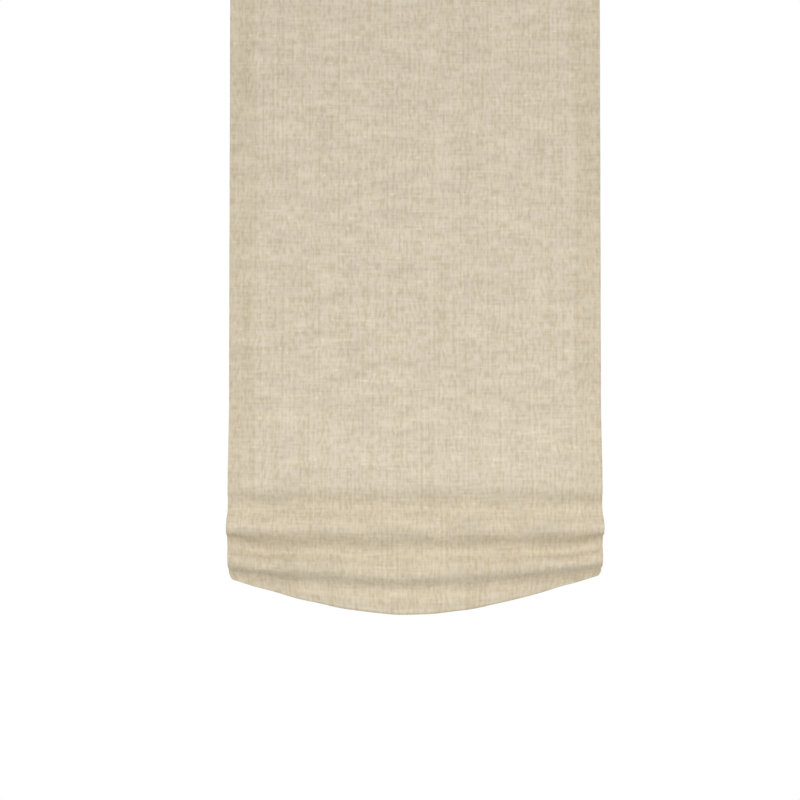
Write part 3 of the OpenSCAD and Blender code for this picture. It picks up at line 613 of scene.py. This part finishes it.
print("lining: lines drawn at", round(2 * WARP_LINE[0] / MM, 1), "mm")

# %% Lining
LINING_T, LINING_DEPTH = 0.30 * MM, 1.70 * MM
LINING_SHORT = 12 * MM

lining_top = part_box("lining_panel")[1].z
lining_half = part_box("lining_panel")[1].x
lining_x = np.linspace(-lining_half, lining_half, round(2 * lining_half / COLUMN_STEP) + 1)
line, lengths, lining_ends = hang(lining_x / half_w, lining_top)
length = lengths.mean(1)
face_length = length + cloth_top - lining_top
lining_rows = np.flatnonzero(length <= length[-1] - LINING_SHORT)
level = np.zeros((len(lining_rows), len(lining_x)))
lining_grid = lay(line, face_length, lining_rows, lining_x, level + LINING_DEPTH, level)
lining_normals = grid_normals(lining_grid)
lining_flat = np.stack(np.broadcast_arrays(lining_x[None, :], lengths[lining_rows], 0.0), -1)
lining_seam = lining_ends[1]
above, below = slice(0, lining_seam + 1), slice(lining_seam, None)

panel_mesh = cloth_shell("lining_cloth_panel", lining_grid[above], lining_normals[above], lining_flat[above],
                         LINING_T)
lining_panel = new_piece(panel_mesh, sateen, "headrail", "lining", "lining_panel")
rise_with_lift(lining_panel)
folds_mesh = cloth_shell("lining_cloth_folds", lining_grid[below], lining_normals[below], lining_flat[below],
                         LINING_T)
lining_folds = new_piece(folds_mesh, sateen, "fold_stack", "lining", "lining_folds")

# %% [markdown]
# ## Thread
# All the sewing is in one thread, a matt three-ply cotton in the linen's colour. Twisted plies give fine
# slanting lines along each stitch. They are a fifth of a millimetre apart and are drawn at half a
# millimetre.

# %% Thread material
PLY = 0.5 * MM

thread, tree = new_material("twisted_cotton_thread")
position = add(tree, "ShaderNodeTexCoord")
ply = add(tree, "ShaderNodeTexWave", {
    "Vector": position.outputs["Object"], "Scale": DIAGONAL_STEP / PLY, "Distortion": 0.5},
    bands_direction="DIAGONAL")
plies = add(tree, "ShaderNodeValToRGB", {"Fac": ply.outputs["Fac"]}, stops=[(0, "#cdc1ab"), (1, "#e2d9c9")])
twist = add(tree, "ShaderNodeBump", {"Strength": 0.4, "Distance": 0.1 * MM, "Height": ply.outputs["Fac"]})
shader = add(tree, "ShaderNodeBsdfPrincipled", {
    "Base Color": plies.outputs["Color"], "Roughness": 0.8, "IOR": 1.47, "Normal": twist.outputs["Normal"]})
add(tree, "ShaderNodeOutputMaterial", {"Surface": shader.outputs[0]})
print("thread: plies drawn at", round(PLY / MM, 1), "mm")

# %% [markdown]
# ## Stitches
# A stitch is a short bead of thread that dips into the cloth at both ends. Hundreds are needed, so one
# small bead is worked out as an array and copied along each seam into a single mesh: two rows that hold
# the loop tape on, slip stitches down the lining's edges, and a bar of satin stitches across each end of
# a ring tab and fold tape.

# %% Stitch helper
BEAD_RINGS, BEAD_SIDES = 3, 6

polar = np.pi * np.arange(1, BEAD_RINGS + 1) / (BEAD_RINGS + 1)
around = math.tau * np.arange(BEAD_SIDES) / BEAD_SIDES
bead = [(-1, 0, 0)] + [(-math.cos(p), math.sin(p) * math.cos(a), math.sin(p) * math.sin(a))
                       for p in polar for a in around] + [(1, 0, 0)]
bead_faces = [(0, 1 + (k + 1) % BEAD_SIDES, 1 + k) for k in range(BEAD_SIDES)]
for r in range(BEAD_RINGS - 1):
    for k in range(BEAD_SIDES):
        near, far, step = 1 + r * BEAD_SIDES, 1 + (r + 1) * BEAD_SIDES, (k + 1) % BEAD_SIDES
        bead_faces.append((near + k, near + step, far + step, far + k))
last = len(bead) - 1
ring = last - BEAD_SIDES
bead_faces += [(last, ring + k, ring + (k + 1) % BEAD_SIDES) for k in range(BEAD_SIDES)]
bead = np.array(bead)


def stitches(name, middles, ways, length, width):
    """A mesh of beads of thread at these places, each along its own way."""
    points, faces = [], []
    for middle, way in zip(middles, ways):
        way = Vector(way).normalized()
        side = way.cross(Vector((0, 1, 0))).normalized()
        axes = np.array([way * length / 2, side * width / 2, way.cross(side) * width / 2])
        faces += [tuple(len(points) + i for i in face) for face in bead_faces]
        points += (bead @ axes + np.array(middle)).tolist()
    mesh = bpy.data.meshes.new(name)
    mesh.from_pydata(points, [], faces)
    mesh.polygons.foreach_set("use_smooth", np.ones(len(faces), bool))
    return mesh


print("one bead of thread:", len(bead), "points")

# %% Tape seams and slip stitches
SEAM_PITCH, SEAM_STITCH = 4.2 * MM, 3.2 * MM
SLIP_PITCH, SLIP_STITCH, SLIP_SLANT = 14 * MM, 5 * MM, 0.35
THREAD_W = 0.6 * MM
SEAM_IN = 2.5 * MM

tape_low, tape_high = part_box("loop_tape")
seam_x = np.arange(tape_low.x + SEAM_IN, tape_high.x - SEAM_IN, SEAM_PITCH)
seam_rows = (tape_high.z - SEAM_IN, tape_low.z + SEAM_IN)
middles = [(sx * SPREAD["top"], face_y - LINEN_T / 2, z) for z in seam_rows for sx in seam_x]
tape_seams = new_piece(stitches("tape_seams", middles, [(1, 0, 0)] * len(middles), SEAM_STITCH, THREAD_W),
                       thread, "headrail", "linen")
rise_with_lift(tape_seams)


def slip_row(rows, name, body):
    """Slanted slip stitches over the lining's two edges, on some of its rows."""
    places = np.arange(length[rows[0]] + SLIP_PITCH / 2, length[rows[-1]], SLIP_PITCH)
    middles, ways = [], []
    for column, side in ((0, -1), (-1, 1)):
        edge_line = lining_grid[rows, column] - lining_normals[rows, column] * LINING_T / 2
        at = np.stack([np.interp(places, length[rows], edge_line[:, k]) for k in range(3)], -1)
        down = np.stack([np.interp(places + MM, length[rows], edge_line[:, k]) for k in range(3)], -1) - at
        middles += at.tolist()
        ways += (down / MM + np.array((side * SLIP_SLANT, 0, 0))).tolist()
    return new_piece(stitches(name, middles, ways, SLIP_STITCH, THREAD_W), thread, body, "lining")


slip_panel = slip_row(np.arange(lining_seam + 1), "slip_stitches_panel", "headrail")
rise_with_lift(slip_panel)
slip_row(lining_rows[lining_seam:], "slip_stitches_folds", "fold_stack")
print("stitches:", len(middles), "on the tape seams")

# %% [markdown]
# ## Tubes for cords and bindings
# Cords, knots and thread bindings are all round lines. A curve with a bevel would do, but only a mesh can
# shorten with the lift, so one function sweeps a ring of points along a path. It carries the ring's
# direction from point to point, so that the tube never twists over.

# %% Tube helper
def tubes(name, paths, radius, sides, loop=False):
    """A mesh of round tubes along paths. A loop joins its ends, and an open tube is capped."""
    points, faces = [], []
    for path in paths:
        path = np.asarray(path, float)
        count = len(path)
        along = (np.roll(path, -1, 0) - np.roll(path, 1, 0)) if loop else np.gradient(path, axis=0)
        along /= np.linalg.norm(along, axis=1, keepdims=True)
        side = Vector(along[0]).orthogonal().normalized()
        first = len(points)
        for place, way in zip(path, along):
            way = Vector(way)
            side = (side - way * side.dot(way)).normalized()
            up = way.cross(side)
            for a in math.tau * np.arange(sides) / sides:
                points.append(Vector(place) + (side * math.cos(a) + up * math.sin(a)) * radius)
        for r in range(count if loop else count - 1):
            near, far = first + r * sides, first + (r + 1) % count * sides
            faces += [(near + k, near + (k + 1) % sides, far + (k + 1) % sides, far + k)
                      for k in range(sides)]
        if not loop:
            faces += [tuple(range(first + sides - 1, first - 1, -1)),
                      tuple(range(first + (count - 1) * sides, first + count * sides))]
    mesh = bpy.data.meshes.new(name)
    mesh.from_pydata(points, [], faces)
    mesh.polygons.foreach_set("use_smooth", [len(face) == 4 for face in faces])
    return mesh


print("tubes: smooth round the side, flat at the ends")

# %% [markdown]
# ## Lift cords
# Each lift cord is a white polyester braid of 1.4 mm. It leaves its spool, drops through the eyelet and
# the rings, and ends in a knot under a clear orb. The cord is held taut by the weight of the folds, so it
# is straight. Braid shows crossing slanted strands, which two sines of the position make, one for each
# way round. They are drawn at 1.6 mm, a little coarser than on the real braid.

# %% Cord material
STRAND, STRAND_SLANT = 1.6 * MM, 1.6

braid, tree = new_material("braided_polyester_cord")
position = add(tree, "ShaderNodeTexCoord")
place = add(tree, "ShaderNodeSeparateXYZ", {0: position.outputs["Object"]})
strands = []
for way in (1, -1):
    slant = add(tree, "ShaderNodeMath", {
        0: place.outputs["X"], 1: STRAND_SLANT * way, 2: place.outputs["Z"]}, operation="MULTIPLY_ADD")
    phase = add(tree, "ShaderNodeMath", {0: slant.outputs[0], 1: math.tau / STRAND}, operation="MULTIPLY")
    strands.append(add(tree, "ShaderNodeMath", {0: phase.outputs[0]}, operation="SINE"))
plait = add(tree, "ShaderNodeMath", {0: strands[0].outputs[0], 1: strands[1].outputs[0]},
            operation="MULTIPLY")
yarns = add(tree, "ShaderNodeMapRange", {"Value": plait.outputs[0], "From Min": -1.0, "From Max": 1.0})
cord_tone = add(tree, "ShaderNodeValToRGB", {"Fac": yarns.outputs[0]},
                stops=[(0, "#d5d3cd"), (1, "#f3f2ee")])
plaited = add(tree, "ShaderNodeBump", {"Strength": 0.5, "Distance": 0.2 * MM, "Height": yarns.outputs[0]})
shader = add(tree, "ShaderNodeBsdfPrincipled", {
    "Base Color": cord_tone.outputs["Color"], "Roughness": 0.55, "IOR": 1.57, "Sheen Weight": 0.1,
    "Normal": plaited.outputs["Normal"]})
add(tree, "ShaderNodeOutputMaterial", {"Surface": shader.outputs[0]})
print("braid: strands drawn at", round(STRAND / MM, 1), "mm")

# %% Lift cords and knots
CORD_R, TAIL_R = 0.7 * MM, 0.63 * MM
KNOT_R = 0.55 * MM
TAIL, TAIL_SWAY, TAIL_LEAN, TAIL_BEND = 4 * MM, 0.4 * MM, 1.2 * MM, 4
CORD_POINTS, KNOT_POINTS, TAIL_POINTS = 60, 48, 9
CORD_SIDES, KNOT_SIDES = 10, 8

for side in ("left", "right"):
    cord_low, cord_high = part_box(f"lift_cord_{side}")
    orb_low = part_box(f"cord_orb_{side}")[0]
    mid_x, mid_y = (cord_low.x + cord_high.x) / 2, (cord_low.y + cord_high.y) / 2
    drop = [(mid_x, mid_y, z) for z in np.linspace(cord_high.z, orb_low.z, CORD_POINTS)]
    cord_mesh = tubes(f"lift_cord_braid_{side}", [drop], CORD_R, CORD_SIDES)
    lift_cord = new_piece(cord_mesh, braid, "headrail", "lift_cord", f"lift_cord_{side}")
    rise_with_lift(lift_cord)
    turn_at = math.tau * np.arange(KNOT_POINTS) / KNOT_POINTS
    trefoil = np.stack([np.sin(turn_at) + 2 * np.sin(2 * turn_at), np.cos(turn_at) - 2 * np.cos(2 * turn_at),
                        -np.sin(3 * turn_at)], -1) * KNOT_R
    knot_middle = np.array([mid_x, mid_y, orb_low.z - 2 * KNOT_R])
    knot = tubes(f"cord_knot_{side}", [trefoil + knot_middle], CORD_R, KNOT_SIDES, loop=True)
    new_piece(knot, braid, "fold_stack", "lift_cord")
    tail = [(mid_x + TAIL_SWAY * math.sin(TAIL_BEND * s), mid_y + TAIL_LEAN * s * s,
             knot_middle[2] - TAIL * s) for s in np.linspace(0, 1, TAIL_POINTS)]
    new_piece(tubes(f"cord_tail_{side}", [tail], TAIL_R, KNOT_SIDES), braid, "fold_stack", "lift_cord")
    print(side, "cord hangs", round(cord_high.z - orb_low.z, 3), "m")

# %% [markdown]
# ## Ring bindings and tacks
# Every ring is bound to its tab or fold tape with a few turns of thread round its front wire, and each
# tab end is held by a bar of close stitches. They ride with their own ring row, so they rise with it.

# %% Ring bindings and tacks
WIRE_R = 1.25 * MM
BINDING_TURNS, BINDING_PITCH = 5, 0.55 * MM
BINDING_R, BINDING_DEPTH, BINDING_HEIGHT = 0.25 * MM, 1.15 * WIRE_R, 1.2 * WIRE_R
BINDING_POINTS, BINDING_SIDES = 14, 6
BAR_STITCHES, BAR_STITCH, BAR_WAY = 7, 2.4 * MM, (0.15, 0, 1)
TAB_HALF, TACK_IN, CREASE_TACK = 3.6 * MM, 2 * MM, 5 * MM

ring_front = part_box("stack_rings")[0].y
tab_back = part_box("fold_tape_left")[1].y


def bindings(name, heights, body):
    """Turns of thread round the front wire of the two rings at each height."""
    turn_at = math.tau * np.arange(BINDING_POINTS) / BINDING_POINTS
    loops = []
    for z in heights:
        for ring_x in (-cord_x, cord_x):
            for k in range(BINDING_TURNS):
                bx = ring_x + (k - (BINDING_TURNS - 1) / 2) * BINDING_PITCH
                loops.append([(bx, ring_front + WIRE_R + BINDING_DEPTH * math.cos(a),
                               z + BINDING_HEIGHT * math.sin(a)) for a in turn_at])
    new_piece(tubes(name, loops, BINDING_R, BINDING_SIDES, loop=True), thread, body, "linen")


def bar_tacks(name, heights, body):
    """A bar of upright satin stitches across the tab or tape at each height."""
    across_tab = np.linspace(-TAB_HALF, TAB_HALF, BAR_STITCHES)
    middles = [(side * cord_x + ax, tab_back, z) for z in heights for side in (-1, 1) for ax in across_tab]
    bars = stitches(name, middles, [BAR_WAY] * len(middles), BAR_STITCH, THREAD_W)
    new_piece(bars, thread, body, "linen")


for n, z in enumerate(row_z, 1):
    tab_low, tab_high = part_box(f"ring_row_{n}")
    bindings(f"ring_bindings_{n}", [z], f"ring_row_{n}")
    bar_tacks(f"tab_tacks_{n}", [tab_low.z + TACK_IN, tab_high.z - TACK_IN], f"ring_row_{n}")
bindings("ring_bindings_folds", crease_z, "fold_stack")
fold_tape_low, fold_tape_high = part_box("fold_tape_left")
end_tacks = [fold_tape_high.z - TACK_IN, fold_tape_low.z + TACK_IN]
bar_tacks("fold_tape_tacks", end_tacks + [z + CREASE_TACK for z in crease_z[1:]], "fold_stack")
print("bound", 2 * (len(row_z) + len(crease_z)), "rings")

# %% [markdown]
# ## Finishes for the hard pieces
# The CAD nodes keep their shape and get a material for what each one is made of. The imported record
# already says which node takes which finish, so the nodes are gathered by its slots.

# %% Nodes by finish
by_slot = {}
for part in frame["record"]["subparts"]:
    by_slot.setdefault(part["material_slot"], []).append(part["node"])


def dress(names, material):
    """Puts a material on CAD nodes."""
    for name in names:
        for slot in nodes[name].material_slots:
            slot.material = material


print({slot: len(names) for slot, names in by_slot.items()})

# %% [markdown]
# ### Anodised aluminium
# The headrail is an aluminium extrusion, pulled through a die and then etched and anodised. The die
# leaves fine lines along the rail, and the etch leaves a satin grey. The lines are a tenth of a
# millimetre apart, and are drawn at 1 mm.

# %% Anodised aluminium
# Size of each pattern along x, y and z
DIE_LINE, ETCH = (300 * MM, 0.5 * MM, 0.5 * MM), (40 * MM, 12 * MM, 12 * MM)


def object_measure(tree, sizes):
    """Place on the object in steps of the given sizes along x, y and z."""
    position = add(tree, "ShaderNodeTexCoord")
    steps = add(tree, "ShaderNodeVectorMath", {0: position.outputs["Object"], 1: [1 / s for s in sizes]},
                operation="MULTIPLY")
    return steps.outputs["Vector"]


anodised, tree = new_material("satin_anodised_aluminium_extrusion")
die_lines = add(tree, "ShaderNodeTexNoise", {
    "Vector": object_measure(tree, DIE_LINE), "Scale": 1.0, "Detail": 2.0})
etch = add(tree, "ShaderNodeTexNoise", {"Vector": object_measure(tree, ETCH), "Scale": 1.0, "Detail": 3.0})
rail_tone = add(tree, "ShaderNodeValToRGB", {"Fac": die_lines.outputs["Fac"]},
                stops=[(0.3, "#a3a6a9"), (0.7, "#b7b9ba")])
rail_gloss = add(tree, "ShaderNodeMapRange", {"Value": etch.outputs["Fac"], "To Min": 0.46, "To Max": 0.60})
rail_lines = add(tree, "ShaderNodeBump", {
    "Strength": 0.12, "Distance": 0.1 * MM, "Height": die_lines.outputs["Fac"]})
shader = add(tree, "ShaderNodeBsdfPrincipled", {
    "Base Color": rail_tone.outputs["Color"], "Metallic": 1.0, "Roughness": rail_gloss.outputs[0],
    "Normal": rail_lines.outputs["Normal"]})
add(tree, "ShaderNodeOutputMaterial", {"Surface": shader.outputs[0]})
dress(by_slot["aluminium"], anodised)
print("aluminium on", by_slot["aluminium"])

# %% [markdown]
# ### Moulded nylon
# Caps, spools, cradles and the motor's frame and drums are injection-moulded in natural white nylon. The
# mould is spark-eroded, which gives a fine matt grain, and thick places look a shade warmer. The grain is
# too fine to show, so it is drawn at 1.2 mm.

# %% Moulded nylon
GRAIN, FLOW = 0.6 * MM, 14 * MM

nylon, tree = new_material("white_moulded_nylon")
grain = add(tree, "ShaderNodeTexNoise", {
    "Vector": object_measure(tree, (GRAIN, GRAIN, GRAIN)), "Scale": 1.0, "Detail": 2.0})
flow = add(tree, "ShaderNodeTexNoise", {
    "Vector": object_measure(tree, (FLOW, FLOW, FLOW)), "Scale": 1.0, "Detail": 2.0})
nylon_tone = add(tree, "ShaderNodeValToRGB", {"Fac": flow.outputs["Fac"]},
                 stops=[(0.3, "#e9e7df"), (0.7, "#f4f3ef")])
nylon_gloss = add(tree, "ShaderNodeMapRange", {"Value": grain.outputs["Fac"], "To Min": 0.4, "To Max": 0.56})
nylon_grain = add(tree, "ShaderNodeBump", {
    "Strength": 0.15, "Distance": 0.1 * MM, "Height": grain.outputs["Fac"]})
shader = add(tree, "ShaderNodeBsdfPrincipled", {
    "Base Color": nylon_tone.outputs["Color"], "Roughness": nylon_gloss.outputs[0], "IOR": 1.53,
    "Normal": nylon_grain.outputs["Normal"]})
add(tree, "ShaderNodeOutputMaterial", {"Surface": shader.outputs[0]})
dress(by_slot["white_nylon"], nylon)
print("nylon on", len(by_slot["white_nylon"]), "nodes")

# %% [markdown]
# ### Zinc-plated and spring steel
# Brackets, cams, shaft, axle and motor cover are pressed or drawn steel with a bright zinc plate and a
# clear chromate, which shows faint blue and straw clouds and soft rolling scratches. Those are hair-fine
# and are drawn at 1.2 mm. The power spring is hardened strip, darker, smoother and slightly blued.

# %% Zinc-plated steel and spring steel
PLATE_CLOUD, SCRATCH = (9 * MM, 9 * MM, 9 * MM), (18 * MM, 0.6 * MM, 0.6 * MM)


def plated_steel(name, cool, warm, gloss, scratch):
    """Rolled steel with clouds of two tints, a roughness range and fine scratches along it."""
    material, tree = new_material(name)
    clouds = add(tree, "ShaderNodeTexNoise", {
        "Vector": object_measure(tree, PLATE_CLOUD), "Scale": 1.0, "Detail": 3.0})
    scratches = add(tree, "ShaderNodeTexNoise", {
        "Vector": object_measure(tree, SCRATCH), "Scale": 1.0, "Detail": 2.0})
    tint = add(tree, "ShaderNodeValToRGB", {"Fac": clouds.outputs["Fac"]},
               stops=[(0.35, cool), (0.65, warm)])
    sheen = add(tree, "ShaderNodeMapRange", {
        "Value": scratches.outputs["Fac"], "From Min": 0.3, "From Max": 0.7,
        "To Min": gloss[0], "To Max": gloss[1]})
    rolled = add(tree, "ShaderNodeBump", {
        "Strength": scratch, "Distance": 0.1 * MM, "Height": scratches.outputs["Fac"]})
    shader = add(tree, "ShaderNodeBsdfPrincipled", {
        "Base Color": tint.outputs["Color"], "Metallic": 1.0, "Roughness": sheen.outputs[0],
        "Normal": rolled.outputs["Normal"]})
    add(tree, "ShaderNodeOutputMaterial", {"Surface": shader.outputs[0]})
    return material


zinc = plated_steel("zinc_plated_pressed_steel", "#90979f", "#a4a39d", gloss=(0.40, 0.55), scratch=0.1)
dress(by_slot["zinc_steel"], zinc)
strip = plated_steel("blued_spring_steel_strip", "#7d858f", "#979a9c", gloss=(0.18, 0.3), scratch=0.06)
dress(by_slot["spring_steel"], strip)
print("zinc on", len(by_slot["zinc_steel"]), "nodes, spring steel on", by_slot["spring_steel"])

# %% [markdown]
# ### Clear polycarbonate and tabs
# Rings and orbs are moulded in clear polycarbonate, glossy with a trace of haze. The four ring rows hold
# their cotton tabs in the same node, so one material takes care of both: in front of the tabs' back plane
# it is woven tape, and behind it, clear.

# %% Twill tape and clear plastic
TWILL, HAZE = 1.6 * MM, 3 * MM


def twill_colour(tree):
    """Colour and relief of a cotton twill tape, whose slanted lines are 0.8 mm apart and drawn at 1.6 mm."""
    lines = add(tree, "ShaderNodeTexWave", {
        "Vector": object_measure(tree, (TWILL, TWILL, TWILL)), "Scale": DIAGONAL_STEP, "Distortion": 0.4,
        "Detail": 1.0}, bands_direction="DIAGONAL")
    colour = add(tree, "ShaderNodeValToRGB", {"Fac": lines.outputs["Fac"]},
                 stops=[(0, "#d6d1c4"), (1, "#eae6dc")])
    return colour.outputs["Color"], lines.outputs["Fac"]


clear, tree = new_material("clear_moulded_polycarbonate_on_twill_tab")
tab_colour, tab_lines = twill_colour(tree)
position = add(tree, "ShaderNodeTexCoord")
place = add(tree, "ShaderNodeSeparateXYZ", {0: position.outputs["Object"]})
in_tab = add(tree, "ShaderNodeMath", {0: place.outputs["Y"], 1: (tab_back + ring_front) / 2},
             operation="LESS_THAN")
haze = add(tree, "ShaderNodeTexNoise", {
    "Vector": object_measure(tree, (HAZE, HAZE, HAZE)), "Scale": 1.0, "Detail": 1.0})
clear_gloss = add(tree, "ShaderNodeMapRange", {"Value": haze.outputs["Fac"], "To Min": 0.04, "To Max": 0.12})
colour = add(tree, "ShaderNodeMix", {0: in_tab.outputs[0], 6: srgb("#f2f6f7"), 7: tab_colour},
             data_type="RGBA")
gloss = add(tree, "ShaderNodeMix", {0: in_tab.outputs[0], 2: clear_gloss.outputs[0], 3: 0.85})
through = add(tree, "ShaderNodeMath", {0: 1.0, 1: in_tab.outputs[0]}, operation="SUBTRACT")
raised = add(tree, "ShaderNodeMath", {0: tab_lines, 1: in_tab.outputs[0]}, operation="MULTIPLY")
twilled = add(tree, "ShaderNodeBump", {"Strength": 0.3, "Distance": 0.2 * MM, "Height": raised.outputs[0]})
shader = add(tree, "ShaderNodeBsdfPrincipled", {
    "Base Color": colour.outputs[2], "Roughness": gloss.outputs[0], "IOR": 1.585,
    "Transmission Weight": through.outputs[0], "Normal": twilled.outputs["Normal"]})
add(tree, "ShaderNodeOutputMaterial", {"Surface": shader.outputs[0]})
dress(by_slot["clear_plastic"], clear)

twill, tree = new_material("cotton_twill_tape")
tape_colour, tape_lines = twill_colour(tree)
ribbed = add(tree, "ShaderNodeBump", {"Strength": 0.35, "Distance": 0.2 * MM, "Height": tape_lines})
shader = add(tree, "ShaderNodeBsdfPrincipled", {
    "Base Color": tape_colour, "Roughness": 0.88, "IOR": 1.47, "Normal": ribbed.outputs["Normal"]})
add(tree, "ShaderNodeOutputMaterial", {"Surface": shader.outputs[0]})
dress([name for name in by_slot["twill_tape"] if name.startswith("fold_tape")], twill)
print("clear plastic on", by_slot["clear_plastic"])

# %% [markdown]
# ### Hook and loop tapes
# The cloth hangs on the rail by hook and loop tape, woven in white nylon. The hooks stand in rows about
# 1.5 mm apart, and the loops are a soft tangle. Only their edges show.

# %% Hook and loop tapes, and the cord on the spools
HOOK, LOOP = 1.5 * MM, 1.0 * MM


def pile_tape(name, texture, settings, size, strength):
    """A nylon tape whose pile comes from one texture, at the pile's size."""
    material, tree = new_material(name)
    pile = add(tree, texture, {"Vector": object_measure(tree, (size, size, size)), "Scale": 1.0, **settings})
    height = pile.outputs["Distance" if texture == "ShaderNodeTexVoronoi" else "Fac"]
    tone = add(tree, "ShaderNodeValToRGB", {"Fac": height}, stops=[(0, "#f0ede6"), (1, "#d2cdc2")])
    tufts = add(tree, "ShaderNodeBump", {"Strength": strength, "Distance": 0.5 * MM, "Height": height})
    shader = add(tree, "ShaderNodeBsdfPrincipled", {
        "Base Color": tone.outputs["Color"], "Roughness": 0.75, "IOR": 1.53,
        "Normal": tufts.outputs["Normal"]})
    add(tree, "ShaderNodeOutputMaterial", {"Surface": shader.outputs[0]})
    return material


hooks = pile_tape("woven_nylon_hook_tape", "ShaderNodeTexVoronoi", {"Randomness": 0.1}, HOOK, strength=0.6)
dress(["hook_tape"], hooks)
loops = pile_tape("brushed_nylon_loop_tape", "ShaderNodeTexNoise", {"Detail": 3.0}, LOOP, strength=0.5)
dress(["loop_tape"], loops)
dress(["cord_wrap_left", "cord_wrap_right"], braid)
print("tapes and cord turns dressed")
